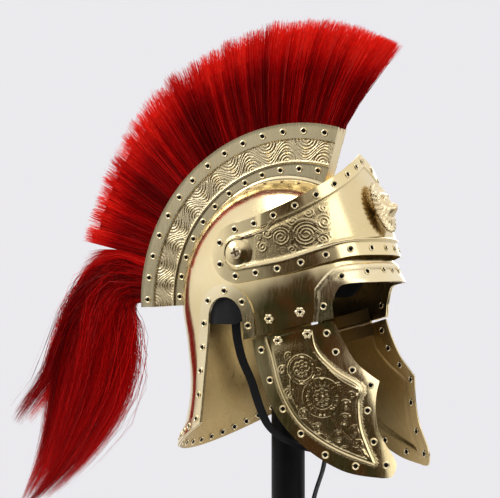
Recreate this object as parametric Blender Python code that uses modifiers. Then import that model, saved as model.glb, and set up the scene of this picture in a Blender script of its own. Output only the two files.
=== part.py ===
"""Roman centurion helmet on a stand, with hinged cheek guards and a horsehair crest.

The origin is the centre of the stand's underside, +Z is up and the helmet looks along -Y.
The wearer's right is -X. Sizes are in millimetres, and heights on the helmet are measured
from its datum, the widest level of the skull, with "forward" pointing to the face.
"""
import math

import bmesh
import bpy
import numpy as np
from mathutils import Matrix, Vector
from mathutils.geometry import delaunay_2d_cdt

MM = 0.001

# Skull and neck guard
SHEET = 1.2
HALF_WIDTH = 98.0
FRONT_LENGTH = 118.0
BACK_LENGTH = 116.0
CROWN_HEIGHT = 130.0
NECK_DROP = 163.0
CHEEK_DROP = 177.0
FRONT_ROUNDNESS = 2.4
BACK_ROUNDNESS = 2.1
BLEND_FROM = math.radians(85)
BLEND_TO = math.radians(120)

# Shares of the neck drop, half width and back length
BACK_SECTIONS = ((0.0, 1.0, 1.0), (0.28, 1.0, 0.94), (0.55, 1.05, 0.89), (0.78, 1.09, 0.93),
                 (1.0, 1.12, 1.034))
# Shares of the cheek drop, half width and front length
FRONT_SECTIONS = ((0.0, 1.0, 1.0), (0.14, 0.965, 1.0), (0.25, 0.935, 1.07), (0.45, 0.93, 1.2),
                  (0.72, 0.93, 1.29), (1.0, 0.93, 1.37))

# Stand
DATUM_HEIGHT = 330.0
BASE_RADIUS = 0.97 * HALF_WIDTH
BASE_THICKNESS = 16.0
POST_RADIUS = 17.9
HEAD_RADIUS = 46.0
HEAD_DEPTH = 38.0
SEAT_CLEARANCE = 0.8

# Brow and temples
BROW_LEVEL = 19.0
BROW_BAND_TOP = 38.0
BROW_FLARE = 8.0
BROW_BLEND = 8.0
BROW_CLEARANCE = 0.8
TEMPLE_FORWARD = 84.5
TEMPLE_TOP = -4.0
BROW_CORNER_FORWARD = 96.0
BROW_CORNER_DROP = 3.0
BROW_MIDDLE_DROP = 0.6
BROW_TURN_FORWARD = 4.0
BROW_TURN_DROP = 10.0
FACE_BAND_BACK = 67.0
# How far the face band's outer edge lies forward of its back, and how far it has dropped, over the eye,
# at its bend and above the hinge line
FACE_BAND_EDGE = ((22.0, 4.0), (11.0, 13.0), (2.0, 27.0))

# Hinge line between the helmet and a cheek guard
HINGE_LEVEL = -40.0
HINGE_SLOPE = 0.244
HINGE_GAP = 2.5

# Ear openings
EAR_FORWARD = -26.5
EAR_RADIUS = 20.5
EAR_CENTRE_LEVEL = -17.5
EAR_REAR_SPREAD = 9.0
RIM_CORNER_LEVEL = -127.0

# Riveted bands over the shell
BAND = 1.2
BAND_WIDTH = 13.0
BAND_CLEARANCE = 0.5
BAND_JOINT = 0.6

# Liner
LINER = 3.0
LINER_CLEARANCE = 0.5
LINER_BACK_LEVEL = -25.0
LINER_TEMPLE_LEVEL = 3.0
LINER_BROW_LEVEL = 46.0
LINER_STEP_FROM = math.radians(45)
LINER_STEP_TO = math.radians(72)
LINER_BACK_FROM = math.radians(100)

# Visor
VISOR_CLEARANCE = 0.45
VISOR_END_FORWARD = -11.0
VISOR_END_LEVEL = 48.0
VISOR_END_RADIUS = 31.0
VISOR_FRONT = 120.0
VISOR_FRONT_LEVEL = 47.0
VISOR_TOP_MEET = 12.0
# How far forward the lower edge's points lie and their shares of its rise to the front
VISOR_LOWER_EDGE = ((42.0, 0.3), (81.0, 0.7), (104.0, 0.93))
VISOR_LEAN = 0.365
VISOR_SIDE_LEAN = 0.04
PEAK_LEVEL = 153.0
PEAK_RISE_FORWARD = 0.342
PEAK_FALL_SIDE = 0.455
PIVOT_RADIUS = 13.0
PIVOT_HEIGHT = 3.0
SCREW_RADIUS = 6.0
SCREW_HEIGHT = 2.4
SLOT_WIDTH = 1.4
SLOT_DEPTH = 1.2

# Medallion
MEDALLION_LEVEL = 94.0
MEDALLION_WIDTH = 50.0
MEDALLION_HEIGHT = 58.0
MEDALLION_PLATE = 5.0
MEDALLION_STAND_OFF = 4.0
MUZZLE_HEIGHT = 11.0
STUD_RADIUS = 5.0

# Crest box and plume
CREST_FORWARD = 12.0
CREST_INNER_RADIUS = 131.0
CREST_OUTER_RADIUS = 189.0
CREST_WIDTH = 20.0
CREST_FRONT_ANGLE = 74.0
CREST_BACK_ANGLE = 182.5
CREST_PLATE = 1.2
CREST_FLOOR = 4.0
CREST_SINK = 7.0
CREST_CLEARANCE = 0.4
CREST_STEPS = 18
PLUME_CLEARANCE = 0.4
PLUME_ROOT_DEPTH = 24.0
PLUME_OUTER_RADIUS = 298.0
PLUME_TIP_WIDTH = 44.0
PLUME_TIP_FRONT_ANGLE = 67.0
PLUME_SPLIT_ANGLE = 165.0
LOCK_COUNT = 22
LOCK_RELIEF = 0.16
TAIL_LENGTH = 330.0
TAIL_WIDTH = 132.0
TAIL_THICKNESS = 50.0

# Cheek guards
CHEEK_LENGTH = 139.0
CHEEK_REAR = 3.0
# Shares of the cheek guard's length and drop, from its rear top corner: its front edge down to the
# middle point, the hollow below it, the tip, and the edge from the tip back to the rear top corner
CHEEK_FRONT_EDGE = ((0.66, 0.03), (0.742, 0.17), (0.878, 0.3))
CHEEK_HOLLOW = ((0.867, 0.41), (0.87, 0.53), (0.9, 0.68), (0.984, 0.85))
CHEEK_TIP = ((1.0, 0.92), (0.978, 0.985), (0.925, 0.995))
CHEEK_LOWER_EDGE = ((0.67, 0.942), (0.39, 0.77), (0.173, 0.532), (0.04, 0.21))

# Hinges
HINGE_LENGTH = 46.0
HINGE_CENTRE_FORWARD = 42.0
LEAF = 0.8
LEAF_HEIGHT = 15.0
KNUCKLE_RADIUS = 1.9
PIN_RADIUS = 0.8
TAB_INSET = 0.1
LEAF_SETBACK = 1.3
PIN_END = 0.3
TAB_SINK = 1.0
HINGE_CLEARANCE = 0.35

# Chin strap
STRAP_WIDTH = 10.0
STRAP_THICKNESS = 2.0
STRAP_CLEARANCE = 0.4
# Forward, level and how far in from the liner, where each end of the strap is held
STRAP_ENDS = ((-15.0, 24.0, 2.1), (-17.0, -4.0, 2.0))
# Side as a share of the half width, forward and level of one half, from below the liner to the chin
STRAP_ROUTE = ((0.857, -19.0, -34.0), (0.755, -18.0, -60.0), (0.653, -12.0, -84.0), (0.531, -8.0, -112.0),
               (0.418, -2.0, -133.0), (0.286, 12.0, -148.0), (0.143, 34.0, -158.0), (0.0, 44.0, -161.0))
# How far forward and down the free end goes from the strap's lowest point
STRAP_TAIL_ROUTE = ((0.0, 0.0), (-4.0, -18.0), (-13.0, -44.0), (-19.0, -72.0))

# Mesh sizes
FACET = 14.0
LINER_FACET = 20.0
BAND_FACET = 9.0
ROUND_SIDES = 24


def clear_scene():
    for old in list(bpy.data.objects):
        bpy.data.objects.remove(old, do_unlink=True)


def new_collection(name):
    collection = bpy.data.collections.new(name)
    bpy.context.scene.collection.children.link(collection)
    return collection


def material(name, colour, metallic, roughness):
    made = bpy.data.materials.new(name)
    made.use_nodes = True
    shader = made.node_tree.nodes["Principled BSDF"]
    shader.inputs["Base Color"].default_value = (*colour, 1.0)
    shader.inputs["Metallic"].default_value = metallic
    shader.inputs["Roughness"].default_value = roughness
    made.diffuse_color = (*colour, 1.0)
    return made


def place(side, forward, level):
    """World position in metres of a point to the wearer's left, forward and above the datum."""
    return Vector((side, -forward, level + DATUM_HEIGHT)) * MM


def add_object(name, mesh, look, collection):
    made = bpy.data.objects.new(name, mesh)
    made.data.materials.append(look)
    collection.objects.link(made)
    return made


def mesh_from_bmesh(name, shape):
    bmesh.ops.recalc_face_normals(shape, faces=shape.faces)
    mesh = bpy.data.meshes.new(name)
    shape.to_mesh(mesh)
    shape.free()
    return mesh


# Curves through tables of sections


def along(table, place_in_table, column):
    """A smooth value between the rows of a table, level at its first row."""
    rows = [row[0] for row in table]
    values = [row[column] for row in table]
    slopes = [0.0]
    for i in range(1, len(rows) - 1):
        slopes.append((values[i + 1] - values[i - 1]) / (rows[i + 1] - rows[i - 1]))
    slopes.append((values[-1] - values[-2]) / (rows[-1] - rows[-2]))
    if place_in_table >= rows[-1]:
        return values[-1] + slopes[-1] * (place_in_table - rows[-1])
    i = max(k for k in range(len(rows) - 1) if rows[k] <= place_in_table)
    span = rows[i + 1] - rows[i]
    t = (place_in_table - rows[i]) / span
    start = (1 + 2 * t) * (1 - t) ** 2 * values[i] + t * (1 - t) ** 2 * span * slopes[i]
    end = t * t * (3 - 2 * t) * values[i + 1] + t * t * (t - 1) * span * slopes[i + 1]
    return start + end


def smooth_step(value, low, high):
    t = min(max((value - low) / (high - low), 0.0), 1.0)
    return t * t * (3 - 2 * t)


def smooth_path(points, steps):
    """A smooth curve through the points, with a number of steps between each pair."""
    path = []
    last = len(points) - 1
    for i in range(last):
        before, start = Vector(points[max(i - 1, 0)]), Vector(points[i])
        end, after = Vector(points[i + 1]), Vector(points[min(i + 2, last)])
        for k in range(steps):
            t = k / steps
            bend = (2 * before - 5 * start + 4 * end - after) * t * t
            twist = (3 * start - before - 3 * end + after) * t ** 3
            path.append(start + 0.5 * ((end - before) * t + bend + twist))
    path.append(Vector(points[-1]))
    return path


# The helmet's surface: every sheet that follows it takes its shape from here


def superellipse(turn, half_width, length, roundness):
    across = abs(math.sin(turn)) / half_width
    ahead = abs(math.cos(turn)) / length
    return (across ** roundness + ahead ** roundness) ** (-1.0 / roundness)


def brow_flare(turn, level):
    """How far the brow's edge is turned out at the front."""
    if turn > math.pi / 4:
        return 0.0
    top = BROW_BAND_TOP + BROW_BLEND
    above = min(max((top - level) / (top - BROW_LEVEL), 0.0), 1.0)
    below = smooth_step(level, HINGE_LEVEL / 2, 0.0)
    return BROW_FLARE * above ** 2 * below * math.cos(2 * turn)


def skull_radius(turn, level):
    """Distance from the axis to the outside of the sheet; a turn of 0 is the front, pi the back."""
    turn = abs(turn)
    mix = smooth_step(turn, BLEND_FROM, BLEND_TO)
    roundness = FRONT_ROUNDNESS + (BACK_ROUNDNESS - FRONT_ROUNDNESS) * mix
    length = FRONT_LENGTH if turn < math.pi / 2 else BACK_LENGTH
    if level >= 0:
        scale = math.sqrt(max(0.0, 1 - (level / CROWN_HEIGHT) ** 2))
        return scale * superellipse(turn, HALF_WIDTH, length, roundness) + scale * brow_flare(turn, level)
    back, front = -level / NECK_DROP, -level / CHEEK_DROP
    half_width = HALF_WIDTH * along(FRONT_SECTIONS, front, 1) * (1 - mix)
    half_width += HALF_WIDTH * along(BACK_SECTIONS, back, 1) * mix
    length *= along(FRONT_SECTIONS, front, 2) if turn < math.pi / 2 else along(BACK_SECTIONS, back, 2)
    return superellipse(turn, half_width, length, roundness) + brow_flare(turn, level)


def visor_radius(turn, level):
    """Distance from the axis to the outside of the visor, which leans back as it rises."""
    foot = VISOR_END_LEVEL - VISOR_END_RADIUS
    side = skull_radius(math.pi / 2, foot) + VISOR_CLEARANCE + SHEET - VISOR_SIDE_LEAN * (level - foot)
    front = VISOR_FRONT - VISOR_LEAN * (level - VISOR_FRONT_LEVEL)
    return superellipse(turn, side, front, FRONT_ROUNDNESS)


def surface_point(radius, turn, level, out=0.0):
    """Point at a distance out from a surface, as (side, forward, level); positive turns go to the right."""
    step = 0.002

    def at(angle, height):
        reach = radius(angle, height)
        return Vector((-reach * math.sin(angle), reach * math.cos(angle), height))

    point = at(turn, level)
    if not out:
        return point
    across = at(turn + step, level) - at(turn - step, level)
    up = at(turn, level + 0.2) - at(turn, level - 0.2)
    normal = across.cross(up)
    if normal.length < 1e-9:
        return point + Vector((0, 0, out))
    return point + normal.normalized() * out


def turn_at(radius, forward, level):
    """The turn at which a surface lies a given distance forward."""
    low, high = 0.0, math.pi
    for _ in range(40):
        middle = (low + high) / 2
        if radius(middle, level) * math.cos(middle) > forward:
            low = middle
        else:
            high = middle
    return (low + high) / 2


# Flat charts of the surfaces, in which sheets are outlined and filled


def skull_chart(turn, level):
    """A flat map of the skull that keeps its angles, with the crown at the middle."""
    if level >= 0:
        reach = math.tan(0.5 * math.acos(min(1.0, level / CROWN_HEIGHT)))
    else:
        reach = math.exp(-level / HALF_WIDTH)
    return Vector((reach * math.sin(turn), -reach * math.cos(turn)))


def skull_unchart(spot):
    reach = spot.length
    if reach <= 1:
        level = CROWN_HEIGHT * math.cos(2 * math.atan(reach))
    else:
        level = -HALF_WIDTH * math.log(reach)
    return math.atan2(spot.x, -spot.y), level


def skull_lattice(spacing):
    """Evenly spread points over the whole skull, in its chart, with the local scale of each."""
    spots = [(Vector((0.0, 0.0)), 1 / (2 * HALF_WIDTH))]
    steps = round(math.pi / 2 * CROWN_HEIGHT / spacing)
    rings = [CROWN_HEIGHT * math.cos(math.pi / 2 * k / steps) for k in range(1, steps + 1)]
    rings += [-spacing * k for k in range(1, int(max(NECK_DROP, CHEEK_DROP) / spacing) + 1)]
    for number, level in enumerate(rings):
        reach = skull_chart(0.0, level).length
        true_radius = skull_radius(math.pi / 2, level)
        count = max(6, round(2 * math.pi * true_radius / spacing))
        for k in range(count):
            turn = 2 * math.pi * (k + 0.5 * (number % 2)) / count - math.pi
            spots.append((skull_chart(turn, level), reach / max(true_radius, 1.0)))
    return spots


def visor_chart(turn, level):
    return Vector((turn * HALF_WIDTH, level))


def visor_unchart(spot):
    return spot.x / HALF_WIDTH, spot.y


def visor_lattice(spacing):
    spots = []
    count = int(math.pi * HALF_WIDTH / spacing)
    for row in range(int(PEAK_LEVEL / spacing) + 1):
        for k in range(-count, count + 1):
            spots.append((Vector(((k + 0.5 * (row % 2)) * spacing, row * spacing)), 1.0))
    return spots


SKULL = {"radius": skull_radius, "chart": skull_chart, "unchart": skull_unchart, "lattice": skull_lattice}
VISOR = {"radius": visor_radius, "chart": visor_chart, "unchart": visor_unchart, "lattice": visor_lattice}


def divide(outline, chart, radius, spacing):
    """Chart points along a closed outline of (turn, level) corners, with no step longer than the spacing."""
    spots = []
    for i, corner in enumerate(outline):
        following = outline[(i + 1) % len(outline)]
        length = (surface_point(radius, *following) - surface_point(radius, *corner)).length
        parts = max(1, math.ceil(length / spacing))
        swing = (following[0] - corner[0] + math.pi) % (2 * math.pi) - math.pi
        for k in range(parts):
            turn = corner[0] + swing * k / parts
            level = corner[1] + (following[1] - corner[1]) * k / parts
            spots.append(chart(turn, level))
    return spots


def inside(spot, border):
    """Whether a flat point is inside a closed border."""
    within = False
    for i, a in enumerate(border):
        b = border[i - 1]
        if (a.y > spot.y) != (b.y > spot.y):
            if spot.x < (b.x - a.x) * (spot.y - a.y) / (b.y - a.y) + a.x:
                within = not within
    return within


def clear_of(spots, border, margin):
    """The lattice points inside the border that keep a margin from it."""
    starts = np.array([tuple(p) for p in border])
    spans = np.roll(starts, -1, axis=0) - starts
    squares = (spans ** 2).sum(axis=1)
    kept = []
    for spot, scale in spots:
        from_start = np.array(tuple(spot)) - starts
        share = np.clip((from_start * spans).sum(axis=1) / squares, 0, 1)
        nearest = np.sqrt((((from_start - spans * share[:, None])) ** 2).sum(axis=1)).min()
        if nearest > margin * scale and inside(spot, border):
            kept.append(spot)
    return kept


def sheet(name, surface, outline, thickness, out, look, collection, facet):
    """A closed sheet on a surface: its outside lies at a distance out, its thickness goes inwards."""
    border = divide(outline, surface["chart"], surface["radius"], facet)
    spots = border + clear_of(surface["lattice"](facet), border, 0.55 * facet)
    flat = delaunay_2d_cdt(spots, [], [list(range(len(border)))], 1, 1e-7)
    shape = bmesh.new()
    corners = []
    for spot in flat[0]:
        turn, level = surface["unchart"](spot)
        corners.append(shape.verts.new(place(*surface_point(surface["radius"], turn, level, out))))
    for triangle in flat[2]:
        shape.faces.new([corners[k] for k in triangle])
    loose = [corner for corner in shape.verts if not corner.link_faces]
    bmesh.ops.delete(shape, geom=loose, context="VERTS")
    bmesh.ops.recalc_face_normals(shape, faces=shape.faces)
    facing = sum(face.normal.dot(face.calc_center_median() - place(0, 0, 0)) for face in shape.faces)
    if facing < 0:
        bmesh.ops.reverse_faces(shape, faces=shape.faces)
    mesh = bpy.data.meshes.new(name)
    shape.to_mesh(mesh)
    shape.free()
    made = add_object(name, mesh, look, collection)
    solidify = made.modifiers.new("Thickness", "SOLIDIFY")
    solidify.thickness = thickness * MM
    solidify.offset = -1
    solidify.use_even_offset = True
    return made


# Edges that several sheets share, for the right side, as (turn, level) points


def on_skull(forward, level):
    return turn_at(skull_radius, forward, level), level


def hinge_level(forward):
    return HINGE_LEVEL + HINGE_SLOPE * forward


def hinge_edge(start, end, offset):
    """Along the hinge line between two distances forward, at an offset over it, without its first point."""
    steps = 6
    path = []
    for k in range(1, steps + 1):
        forward = start + (end - start) * k / steps
        path.append(on_skull(forward, hinge_level(forward) + offset))
    return path


def rim_level(forward):
    """The neck guard's lower rim falls from its front corners to the middle of the back."""
    corner = EAR_FORWARD - EAR_RADIUS - EAR_REAR_SPREAD
    back = -BACK_LENGTH * BACK_SECTIONS[-1][2]
    share = (corner - forward) / (corner - back)
    return RIM_CORNER_LEVEL - (NECK_DROP + RIM_CORNER_LEVEL) * share


def brow_edge():
    """From the middle of the brow to the hinge line at the temple."""
    corner = on_skull(BROW_CORNER_FORWARD, BROW_LEVEL - BROW_CORNER_DROP)
    points = [(0.0, BROW_LEVEL), (0.5 * corner[0], BROW_LEVEL - BROW_MIDDLE_DROP), corner]
    points.append(on_skull(TEMPLE_FORWARD + BROW_TURN_FORWARD, BROW_LEVEL - BROW_TURN_DROP))
    points.append(on_skull(TEMPLE_FORWARD, TEMPLE_TOP))
    foot = on_skull(TEMPLE_FORWARD, hinge_level(TEMPLE_FORWARD) + HINGE_GAP / 2)
    return [tuple(p) for p in smooth_path(points, 3)] + [foot]


def ear_front(offset):
    return EAR_FORWARD + EAR_RADIUS + offset


def ear_edge(offset):
    """From the hinge line at the ear over the arch and down to the rim, at an offset out of the opening."""
    front = ear_front(offset)
    path = [(front, hinge_level(front) + HINGE_GAP / 2)]
    for k in range(9):
        angle = math.pi * k / 8
        reach = EAR_RADIUS + offset
        path.append((EAR_FORWARD + reach * math.cos(angle), EAR_CENTRE_LEVEL + reach * math.sin(angle)))
    rear = EAR_FORWARD - EAR_RADIUS - offset
    foot = rear - EAR_REAR_SPREAD
    path.append((rear - 0.6 * EAR_REAR_SPREAD, 0.5 * (EAR_CENTRE_LEVEL + RIM_CORNER_LEVEL)))
    path.append((foot, rim_level(foot)))
    return [on_skull(*p) for p in path]


def rim_edge(start, height):
    """From a distance forward to the middle of the back, at a height over the rim."""
    back = -BACK_LENGTH * BACK_SECTIONS[-1][2]
    path = []
    for k in range(6):
        forward = start + (back - start) * math.sin(math.pi / 2 * k / 6)
        path.append((turn_at(skull_radius, forward, rim_level(forward)), rim_level(forward) + height))
    return path + [(math.pi, rim_level(back) + height)]


def mirrored(half):
    """A whole closed outline from its right half, which runs from the front to the back."""
    return half + [(-turn, level) for turn, level in reversed(half) if 0 < turn < math.pi]


# The helmet's sheets


def make_shell(look, collection):
    half = brow_edge() + hinge_edge(TEMPLE_FORWARD, ear_front(0.0), HINGE_GAP / 2)[:-1] + ear_edge(0.0)
    half += rim_edge(ear_front(0.0) - 2 * EAR_RADIUS - EAR_REAR_SPREAD, 0.0)[1:]
    return sheet("helmet_shell", SKULL, mirrored(half), SHEET, 0.0, look, collection, FACET)


def make_liner(look, collection):
    half = []
    for k in range(25):
        turn = math.pi * k / 24
        past_temple = smooth_step(turn, LINER_STEP_FROM, LINER_STEP_TO)
        past_hinge = smooth_step(turn, BLEND_FROM, LINER_BACK_FROM)
        level = LINER_BROW_LEVEL + (LINER_TEMPLE_LEVEL - LINER_BROW_LEVEL) * past_temple
        level += (LINER_BACK_LEVEL - LINER_TEMPLE_LEVEL) * past_hinge
        half.append((turn, level))
    out = -SHEET - LINER_CLEARANCE
    return sheet("liner", SKULL, mirrored(half), LINER, out, look, collection, LINER_FACET)


def make_bands(look, collection):
    out = BAND_CLEARANCE + BAND
    made = []
    for name, side in (("ear_band_right", 1), ("ear_band_left", -1)):
        outline = ear_edge(0.0) + list(reversed(ear_edge(BAND_WIDTH)))
        outline = [(side * turn, level) for turn, level in outline]
        made.append(sheet(name, SKULL, outline, BAND, out, look, collection, BAND_FACET))
    start = EAR_FORWARD - EAR_RADIUS - EAR_REAR_SPREAD - BAND_WIDTH - BAND_JOINT
    lower, upper = rim_edge(start, 0.0), rim_edge(start, BAND_WIDTH)
    outline = lower + [(-turn, level) for turn, level in reversed(lower[:-1])]
    outline += [(-turn, level) for turn, level in upper[:-1]] + list(reversed(upper))
    made.append(sheet("neck_rim_band", SKULL, outline, BAND, out, look, collection, BAND_FACET))
    out += BROW_CLEARANCE - BAND_CLEARANCE
    made.append(sheet("face_band", SKULL, face_band_outline(), BAND, out, look, collection, BAND_FACET))
    return made


def face_band_outline():
    inner = brow_edge()
    foot = on_skull(FACE_BAND_BACK, hinge_level(FACE_BAND_BACK) + HINGE_GAP / 2)
    edge = [on_skull(FACE_BAND_BACK + ahead, BROW_BAND_TOP - drop) for ahead, drop in FACE_BAND_EDGE]
    points = [(0.0, BROW_BAND_TOP), (0.5 * edge[0][0], BROW_BAND_TOP - BROW_MIDDLE_DROP)] + edge
    outer = [tuple(p) for p in smooth_path(points, 3)] + [foot]
    band = outer + list(reversed(inner))
    band += [(-turn, level) for turn, level in inner[1:]]
    band += [(-turn, level) for turn, level in reversed(outer[1:])]
    return band


def visor_upper_level(turn):
    """The visor's upper edge lies in a slanting plane that rises to the peak."""
    peak_forward = visor_radius(0.0, PEAK_LEVEL)
    level = PEAK_LEVEL
    for _ in range(60):
        reach = visor_radius(turn, level)
        wanted = PEAK_LEVEL - PEAK_RISE_FORWARD * (peak_forward - reach * math.cos(turn))
        wanted -= PEAK_FALL_SIDE * reach * math.sin(turn)
        level += 0.5 * (wanted - level)
    return level


def visor_half_outline():
    """From the peak round the right end to the middle of the lower edge."""
    top = VISOR_END_LEVEL + VISOR_END_RADIUS
    meet = turn_at(visor_radius, VISOR_TOP_MEET, top)
    half = []
    for k in range(9):
        turn = meet * k / 8
        half.append((turn, max(visor_upper_level(turn), top)))
    for k in range(9):
        angle = math.pi / 2 + math.pi * k / 8
        forward = VISOR_END_FORWARD + VISOR_END_RADIUS * math.cos(angle)
        level = VISOR_END_LEVEL + VISOR_END_RADIUS * math.sin(angle)
        half.append((turn_at(visor_radius, forward, level), level))
    foot = VISOR_END_LEVEL - VISOR_END_RADIUS
    for forward, share in VISOR_LOWER_EDGE:
        level = foot + share * (VISOR_FRONT_LEVEL - foot)
        half.append((turn_at(visor_radius, forward, level), level))
    return half + [(0.0, VISOR_FRONT_LEVEL)]


def make_visor(look, collection):
    half = visor_half_outline()
    outline = half + [(-turn, level) for turn, level in reversed(half[1:-1])]
    return sheet("visor", VISOR, outline, SHEET, 0.0, look, collection, FACET)


def stand_on_visor(shape, turn, level, out):
    """Turns and moves a shape made at the origin, facing +Z, onto the visor's outside."""
    here = surface_point(visor_radius, turn, level)
    normal = (surface_point(visor_radius, turn, level, 1.0) - here).normalized()
    facing = Vector((normal.x, -normal.y, normal.z))
    turned = facing.to_track_quat("Z", "Y").to_matrix().to_4x4()
    spot = place(*(here + normal * out))
    bmesh.ops.transform(shape, matrix=Matrix.Translation(spot) @ turned, verts=shape.verts)


def turned_profile(shape, profile, sides):
    """Adds a turned solid about Z from (radius, height) points that run from the bottom to the top."""
    rings = []
    for radius, height in profile:
        ring = []
        for k in range(sides):
            angle = 2 * math.pi * k / sides
            spot = Vector((radius * math.cos(angle), radius * math.sin(angle), height))
            ring.append(shape.verts.new(spot * MM))
        rings.append(ring)
    for low, high in zip(rings, rings[1:]):
        for k in range(sides):
            following = (k + 1) % sides
            shape.faces.new((low[k], low[following], high[following], high[k]))
    shape.faces.new(list(reversed(rings[0])))
    shape.faces.new(rings[-1])


def make_visor_pivots(look, collection, cutters):
    profile = [(PIVOT_RADIUS, 0.0), (0.92 * PIVOT_RADIUS, 0.5 * PIVOT_HEIGHT),
               (1.25 * SCREW_RADIUS, PIVOT_HEIGHT), (SCREW_RADIUS, PIVOT_HEIGHT),
               (SCREW_RADIUS, PIVOT_HEIGHT + 0.6 * SCREW_HEIGHT),
               (0.6 * SCREW_RADIUS, PIVOT_HEIGHT + SCREW_HEIGHT)]
    turn = turn_at(visor_radius, VISOR_END_FORWARD, VISOR_END_LEVEL)
    for name, side in (("visor_pivot_right", 1), ("visor_pivot_left", -1)):
        shape = bmesh.new()
        turned_profile(shape, profile, ROUND_SIDES)
        stand_on_visor(shape, side * turn, VISOR_END_LEVEL, HINGE_CLEARANCE)
        made = add_object(name, mesh_from_bmesh(name, shape), look, collection)
        slot = bmesh.new()
        bmesh.ops.create_cube(slot, size=1.0)
        size = Vector((3 * SCREW_RADIUS, SLOT_WIDTH, 2 * SLOT_DEPTH)) * MM
        bmesh.ops.scale(slot, vec=size, verts=slot.verts)
        bmesh.ops.translate(slot, vec=(0, 0, (PIVOT_HEIGHT + SCREW_HEIGHT) * MM), verts=slot.verts)
        stand_on_visor(slot, side * turn, VISOR_END_LEVEL, HINGE_CLEARANCE)
        cut(made, add_cutter(name + "_slot", slot, cutters), "DIFFERENCE")


def add_cutter(name, shape, cutters):
    made = bpy.data.objects.new(name, mesh_from_bmesh(name, shape))
    cutters.objects.link(made)
    made.hide_render = True
    made.display_type = "WIRE"
    return made


def cut(target, cutter, operation):
    boolean = target.modifiers.new(cutter.name, "BOOLEAN")
    boolean.object = cutter
    boolean.operation = operation
    boolean.solver = "EXACT"


def lump(shape, centre, size, height):
    """Adds a rounded lump over the plate, given as shares of the medallion's half width and half height."""
    half = (0.5 * MEDALLION_WIDTH, 0.5 * MEDALLION_HEIGHT)
    foot = 0.25 * MEDALLION_PLATE
    rise = 0.5 * (MEDALLION_PLATE + height - foot)
    spot = Matrix.Translation(Vector((centre[0] * half[0], centre[1] * half[1], foot + rise)) * MM)
    stretch = Matrix.Diagonal((size[0] * half[0] * MM, size[1] * half[1] * MM, rise * MM, 1.0))
    bmesh.ops.create_icosphere(shape, subdivisions=1, radius=1.0, matrix=spot @ stretch)


def make_medallion(look, collection, cutters):
    """A cast lion mask: a scalloped mane with a muzzle, brows and cheeks raised on it."""
    shape = bmesh.new()
    rings = ((0.86, 0.0), (1.0, 0.35), (0.9, 0.8), (0.55, 1.0))
    sides = 28
    loops = []
    for reach, height in rings:
        loop = []
        for k in range(sides):
            angle = 2 * math.pi * k / sides
            swell = reach * (1.0 if k % 2 else 0.86)
            across = 0.5 * MEDALLION_WIDTH * swell * math.sin(angle)
            up = 0.5 * MEDALLION_HEIGHT * swell * math.cos(angle)
            loop.append(shape.verts.new(Vector((across, up, height * MEDALLION_PLATE)) * MM))
        loops.append(loop)
    for low, high in zip(loops, loops[1:]):
        for k in range(sides):
            following = (k + 1) % sides
            shape.faces.new((low[k], high[k], high[following], low[following]))
    shape.faces.new(loops[0])
    shape.faces.new(list(reversed(loops[-1])))
    stand_on_visor(shape, 0.0, MEDALLION_LEVEL, MEDALLION_STAND_OFF)
    made = add_object("medallion", mesh_from_bmesh("medallion", shape), look, collection)
    features = (("muzzle", (0.0, -0.22), (0.34, 0.26), MUZZLE_HEIGHT),
                ("nose", (0.0, 0.12), (0.16, 0.36), 0.8 * MUZZLE_HEIGHT),
                ("brow_right", (-0.28, 0.38), (0.26, 0.14), 0.5 * MUZZLE_HEIGHT),
                ("brow_left", (0.28, 0.38), (0.26, 0.14), 0.5 * MUZZLE_HEIGHT),
                ("cheek_right", (-0.42, -0.02), (0.2, 0.26), 0.4 * MUZZLE_HEIGHT),
                ("cheek_left", (0.42, -0.02), (0.2, 0.26), 0.4 * MUZZLE_HEIGHT))
    for name, centre, size, height in features:
        feature = bmesh.new()
        lump(feature, centre, size, height)
        stand_on_visor(feature, 0.0, MEDALLION_LEVEL, MEDALLION_STAND_OFF)
        cut(made, add_cutter("medallion_" + name, feature, cutters), "UNION")
    stud = bmesh.new()
    height = MEDALLION_STAND_OFF - HINGE_CLEARANCE + 0.5 * MEDALLION_PLATE
    turned_profile(stud, [(STUD_RADIUS, 0.0), (STUD_RADIUS, height)], 12)
    stand_on_visor(stud, 0.0, MEDALLION_LEVEL, HINGE_CLEARANCE)
    cut(made, add_cutter("medallion_stud", stud, cutters), "UNION")


# Crest box and plume, on arcs about a centre above the datum line


def crest_spot(side, radius, degrees):
    angle = math.radians(degrees)
    return place(side, CREST_FORWARD + radius * math.cos(angle), radius * math.sin(angle))


def arc_solid(inner, outer, half_width, start, end, steps):
    """A curved bar of rectangular section between two angles, in degrees."""
    shape = bmesh.new()
    corners = ((-half_width, inner), (half_width, inner), (half_width, outer), (-half_width, outer))
    face = shape.faces.new([shape.verts.new(crest_spot(side, radius, start)) for side, radius in corners])
    bmesh.ops.spin(shape, geom=[face] + list(face.edges) + list(face.verts), steps=steps, axis=(-1, 0, 0),
                   cent=place(0, CREST_FORWARD, 0), dvec=(0, 0, 0), angle=math.radians(end - start))
    return shape


def bowl_solid():
    """The outside of the skull and the crest's clearance as one solid, for cutting its seat."""
    shape = bmesh.new()
    bmesh.ops.create_uvsphere(shape, u_segments=72, v_segments=36, radius=1.0)
    for corner in shape.verts:
        turn = math.atan2(-corner.co.x, -corner.co.y)
        level = CROWN_HEIGHT * corner.co.z
        reach = skull_radius(turn, max(level, 0.0))
        if level < 0:
            reach *= math.hypot(corner.co.x, corner.co.y)
        side, forward = -reach * math.sin(turn), reach * math.cos(turn)
        grow = 1 + CREST_CLEARANCE / HALF_WIDTH
        corner.co = place(side * grow, forward * grow, level * grow)
    return shape


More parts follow.
